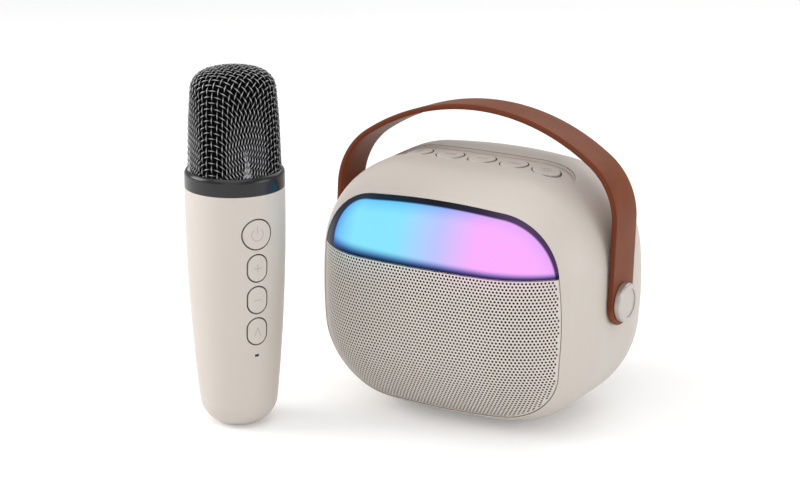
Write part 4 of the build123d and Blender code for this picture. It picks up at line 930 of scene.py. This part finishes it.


# ---- Painted shade lines round the keys and the key strip, and moulded marks on the keys, laid on what is under them ----
KEY_RADIUS, POWER_KEY_RADIUS = 6.0, 6.35
OVAL_KEY_WIDTH, OVAL_KEY_HEIGHT = 8.5, 11.6
STRIP_HALF_LENGTH, STRIP_HALF_WIDTH = 44.0, 9.0
MIC_TURN = radians(59.2)        # the side of the microphone that its keys are on
LINE_LIFT = 0.03                # above the surface
LINE_STEP = 0.25                # between a line's points
# widths of the marks, of the painted shade lines round the keys and of the strip's painted shadow
# line
MARK_WIDTH, GAP_SHADE_WIDTH, STRIP_SHADE_WIDTH = 0.42, 0.3, 0.22
GAP_SHADE_MARGIN = 0.42               # key's outline to the middle of the painted shade line round its gap
STRIP_SHADE_OUT = 0.16            # the painted shadow line runs on the recess's rounded rim, outside the wall
HIGH_ABOVE, FAR_OUT = 200.0, 60.0         # where rays start


def middle_of(name):
    """The middle of a CAD piece, in millimetres."""
    low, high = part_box(name)
    return (low + high) / 2 / MM


def tree_of(*names):
    """A search tree over the faces of CAD pieces, in metres."""
    places, faces = [], []
    for name in names:
        mesh = nodes[name].data
        faces += [[corner + len(places) for corner in face.vertices] for face in mesh.polygons]
        places += [vert.co[:] for vert in mesh.vertices]
    return BVHTree.FromPolygons(places, faces)


def from_above(points):
    """Where rays start that fall on the speaker's top at each x and y, and their direction."""
    return [Vector((x, y, HIGH_ABOVE)) * MM for x, y in points], Vector((0, 0, -1))


def from_keys_side(points):
    """Where rays start that meet the microphone's keys, and their direction."""
    outward = Vector((sin(MIC_TURN), -cos(MIC_TURN), 0))
    right = Vector((cos(MIC_TURN), sin(MIC_TURN), 0))
    axis = Vector((HEAD_X, HEAD_Y, 0))
    return [(axis + right * x + outward * FAR_OUT + Vector((0, 0, z))) * MM
            for x, z in points], -outward


def arc(x, y, radius, start, end, count=24):
    """Points of an arc, its angles in degrees."""
    turn = np.radians(np.linspace(start, end, count))
    return np.c_[x + radius * np.cos(turn), y + radius * np.sin(turn)]


def oval(x, y, half_width, half_height):
    """A closed upright outline with round ends."""
    rise = half_height - half_width
    return np.vstack([arc(x, y + rise, half_width, 0, 180), arc(x, y - rise, half_width, 180, 360),
                      [(x + half_width, y + rise)]])


def draw(bm, tree, aim, line, width):
    """Draws a line of some width on whatever the rays meet."""
    walk = np.r_[0, np.cumsum(np.hypot(*np.diff(line, axis=0).T))]
    even = np.linspace(0, walk[-1], max(2, int(walk[-1] / LINE_STEP)))
    line = np.stack([np.interp(even, walk, values) for values in line.T], axis=-1)
    ahead = np.gradient(line, axis=0)
    ahead /= np.hypot(*ahead.T)[:, None]
    aside = np.c_[-ahead[:, 1], ahead[:, 0]] * width / 2
    sides = []
    for points in (line + aside, line - aside):
        starts, ray = aim(points)
        sides.append([tree.ray_cast(start, ray)[0] - ray * LINE_LIFT * MM for start in starts])
    grow(bm, add_line(bm, sides[0], closed=False), sides[1])


def drawn_piece(name, body, finish, tree, aim, lines, width):
    """A piece made of lines drawn on CAD pieces, facing where the rays come from."""
    bm = bmesh.new()
    for line in lines:
        draw(bm, tree, aim, line, width)
    _, ray = aim([])
    bm.normal_update()
    bmesh.ops.reverse_faces(bm, faces=[face for face in bm.faces if face.normal.dot(ray) > 0])
    piece = piece_from(bm, name, finishes[finish], body)


def upright_line(half_length, x=0.0, y=0.0):
    """A short upright line."""
    return np.array([(x, y - half_length), (x, y + half_length)])


def level_line(half_length):
    """A short level line."""
    return np.array([(-half_length, 0.0), (half_length, 0.0)])


FORWARD = np.array([(-1.0, -1.25), (1.1, 0.0), (-1.0, 1.25), (-1.0, -1.25)])
SUN_RAYS = [np.outer((1.6, 2.4), (cos(angle), sin(angle)))
            for angle in np.linspace(0, 2 * pi, 8, endpoint=False)]
TOP_MARKS = {
    "key_microphone": [oval(0, 0.9, 0.8, 1.3), arc(0, 0.6, 1.6, 190, 350),
                       upright_line(0.52, y=-1.6)],
    "key_previous": [-FORWARD - [0.9, 0], -FORWARD + [1.3, 0], upright_line(1.3, x=-2.3)],
    "key_play": [FORWARD - [0.9, 0], upright_line(1.3, x=1.0), upright_line(1.3, x=2.0)],
    "key_next": [FORWARD + [0.9, 0], FORWARD - [1.3, 0], upright_line(1.3, x=2.3)],
    "key_light": [arc(0, 0, 1.1, 0, 360), *SUN_RAYS],
}
MIC_MARKS = {
    "mic_power_key": [arc(0, 0, 2.7, 125, 415), upright_line(1.56, y=2.0)],
    "mic_plus_key": [upright_line(1.755), level_line(1.755)],
    "mic_minus_key": [level_line(1.755)],
    "mic_mode_key": [np.array([(-1.3, -1.9), (0.0, 1.8), (1.3, -1.9)])],
}
top_gap_shades, mic_gap_shades = [], []
for name, lines in TOP_MARKS.items():
    x, y, _ = middle_of(name)
    top_gap_shades.append(arc(x, y, KEY_RADIUS + GAP_SHADE_MARGIN, 0, 360, count=90))
    drawn_piece(name + "_mark", name + "_body", "moulded_mark", tree_of(name),
                from_above, [line + [x, y] for line in lines], MARK_WIDTH)
for name, lines in MIC_MARKS.items():
    z = middle_of(name).z
    if name == "mic_power_key":
        mic_gap_shades.append(arc(0, z, POWER_KEY_RADIUS + GAP_SHADE_MARGIN, 0, 360, count=90))
    else:
        mic_gap_shades.append(oval(0, z, OVAL_KEY_WIDTH / 2 + GAP_SHADE_MARGIN,
                             OVAL_KEY_HEIGHT / 2 + GAP_SHADE_MARGIN))
    drawn_piece(name + "_mark", name + "_body", "moulded_mark", tree_of(name),
                from_keys_side, [line + [0, z] for line in lines], MARK_WIDTH)
# dark lines round the keys: painted shade standing for their gaps, wider than the real gaps
drawn_piece("top_key_gap_shade", "speaker", "black_foam",
            tree_of("body_shell", *TOP_MARKS), from_above, top_gap_shades, GAP_SHADE_WIDTH)
drawn_piece("mic_key_gap_shade", "microphone", "black_foam",
            tree_of("mic_body", *MIC_MARKS), from_keys_side, mic_gap_shades, GAP_SHADE_WIDTH)
strip_y = middle_of("key_play").y
strip_end = STRIP_HALF_LENGTH - STRIP_HALF_WIDTH
rim_radius = STRIP_HALF_WIDTH + STRIP_SHADE_OUT
strip_rim = np.vstack([arc(strip_end, strip_y, rim_radius, -40, 90),
                       arc(-strip_end, strip_y, rim_radius, 90, 200)])
# a dark line along the strip's rear rim and round its ends only: painted shadow of the recess wall
drawn_piece("strip_rim_shade", "speaker", "black_foam", tree_of("body_shell"), from_above,
            [strip_rim], STRIP_SHADE_WIDTH)


# ---- Camera, floor and lights ----
camera_data = bpy.data.cameras.new("camera")
camera_data.sensor_width = 36.0
camera_data.lens = 109.977
camera = bpy.data.objects.new("camera", camera_data)
camera.location = (0.4882, -0.9063, 0.3814)
camera.rotation_euler = (radians(90 - 16.904), 0, radians(30.375))
bpy.context.scene.collection.objects.link(camera)
bpy.context.scene.camera = camera
bpy.context.scene.view_settings.view_transform = "Standard"
FLOOR_LIFT = 0.24               # light that the floor adds where the camera or a gloss sees it


def floor_finish():
    """A pale floor that keeps soft shadows and is lifted to white for the camera."""
    finish = Finish("studio floor", (0.88, 0.88, 0.88), 0.9, Specular_IOR_Level=0.0)
    path = finish.node("ShaderNodeLightPath")
    seen = finish.node("ShaderNodeMath")
    seen.operation = "MAXIMUM"
    lift = finish.node("ShaderNodeMath")
    lift.operation = "MULTIPLY"
    lift.inputs[1].default_value = FLOOR_LIFT
    wire(finish.tree, (path.outputs["Is Camera Ray"], seen.inputs[0]),
         (path.outputs["Is Glossy Ray"], seen.inputs[1]),
         (seen.outputs["Value"], lift.inputs[0]))
    finish.join(lift.outputs["Value"], "Emission Strength")
    finish.put("Emission Color", (1, 1, 1, 1))
    return finish.material


bm = bmesh.new()
bmesh.ops.create_grid(bm, x_segments=1, y_segments=1, size=4.0)
floor_mesh = bpy.data.meshes.new("floor")
bm.to_mesh(floor_mesh)
bm.free()
floor_mesh.materials.append(floor_finish())
floor = link_new("floor", floor_mesh)

world = bpy.data.worlds.new("studio")
bpy.context.scene.world = world
world.use_nodes = True
sky = world.node_tree.nodes["Background"]
sky.inputs["Color"].default_value = (1, 1, 1, 1)
sky.inputs["Strength"].default_value = 0.48


def softbox(name, place, target, size, power):
    """A square area lamp that points at a target."""
    lamp = bpy.data.lights.new(name, "AREA")
    lamp.size = size
    lamp.energy = power
    holder = bpy.data.objects.new(name, lamp)
    holder.location = place
    aim = Vector(target) - Vector(place)
    holder.rotation_euler = aim.to_track_quat("-Z", "Y").to_euler()
    bpy.context.scene.collection.objects.link(holder)


centre = (-0.02, -0.02, 0.06)
softbox("key softbox", (-1.0, -0.5, 0.6), centre, 0.7, 7.6)
softbox("fill softbox", (0.4, -1.1, 0.4), centre, 0.8, 1.4)
softbox("side softbox", (1.1, 0.15, 0.2), centre, 0.7, 3.2)
softbox("top softbox", (0.1, -0.5, 1.1), centre, 1.2, 5.0)
softbox("back softbox", (0.1, 0.8, 0.8), centre, 0.8, 2.6)
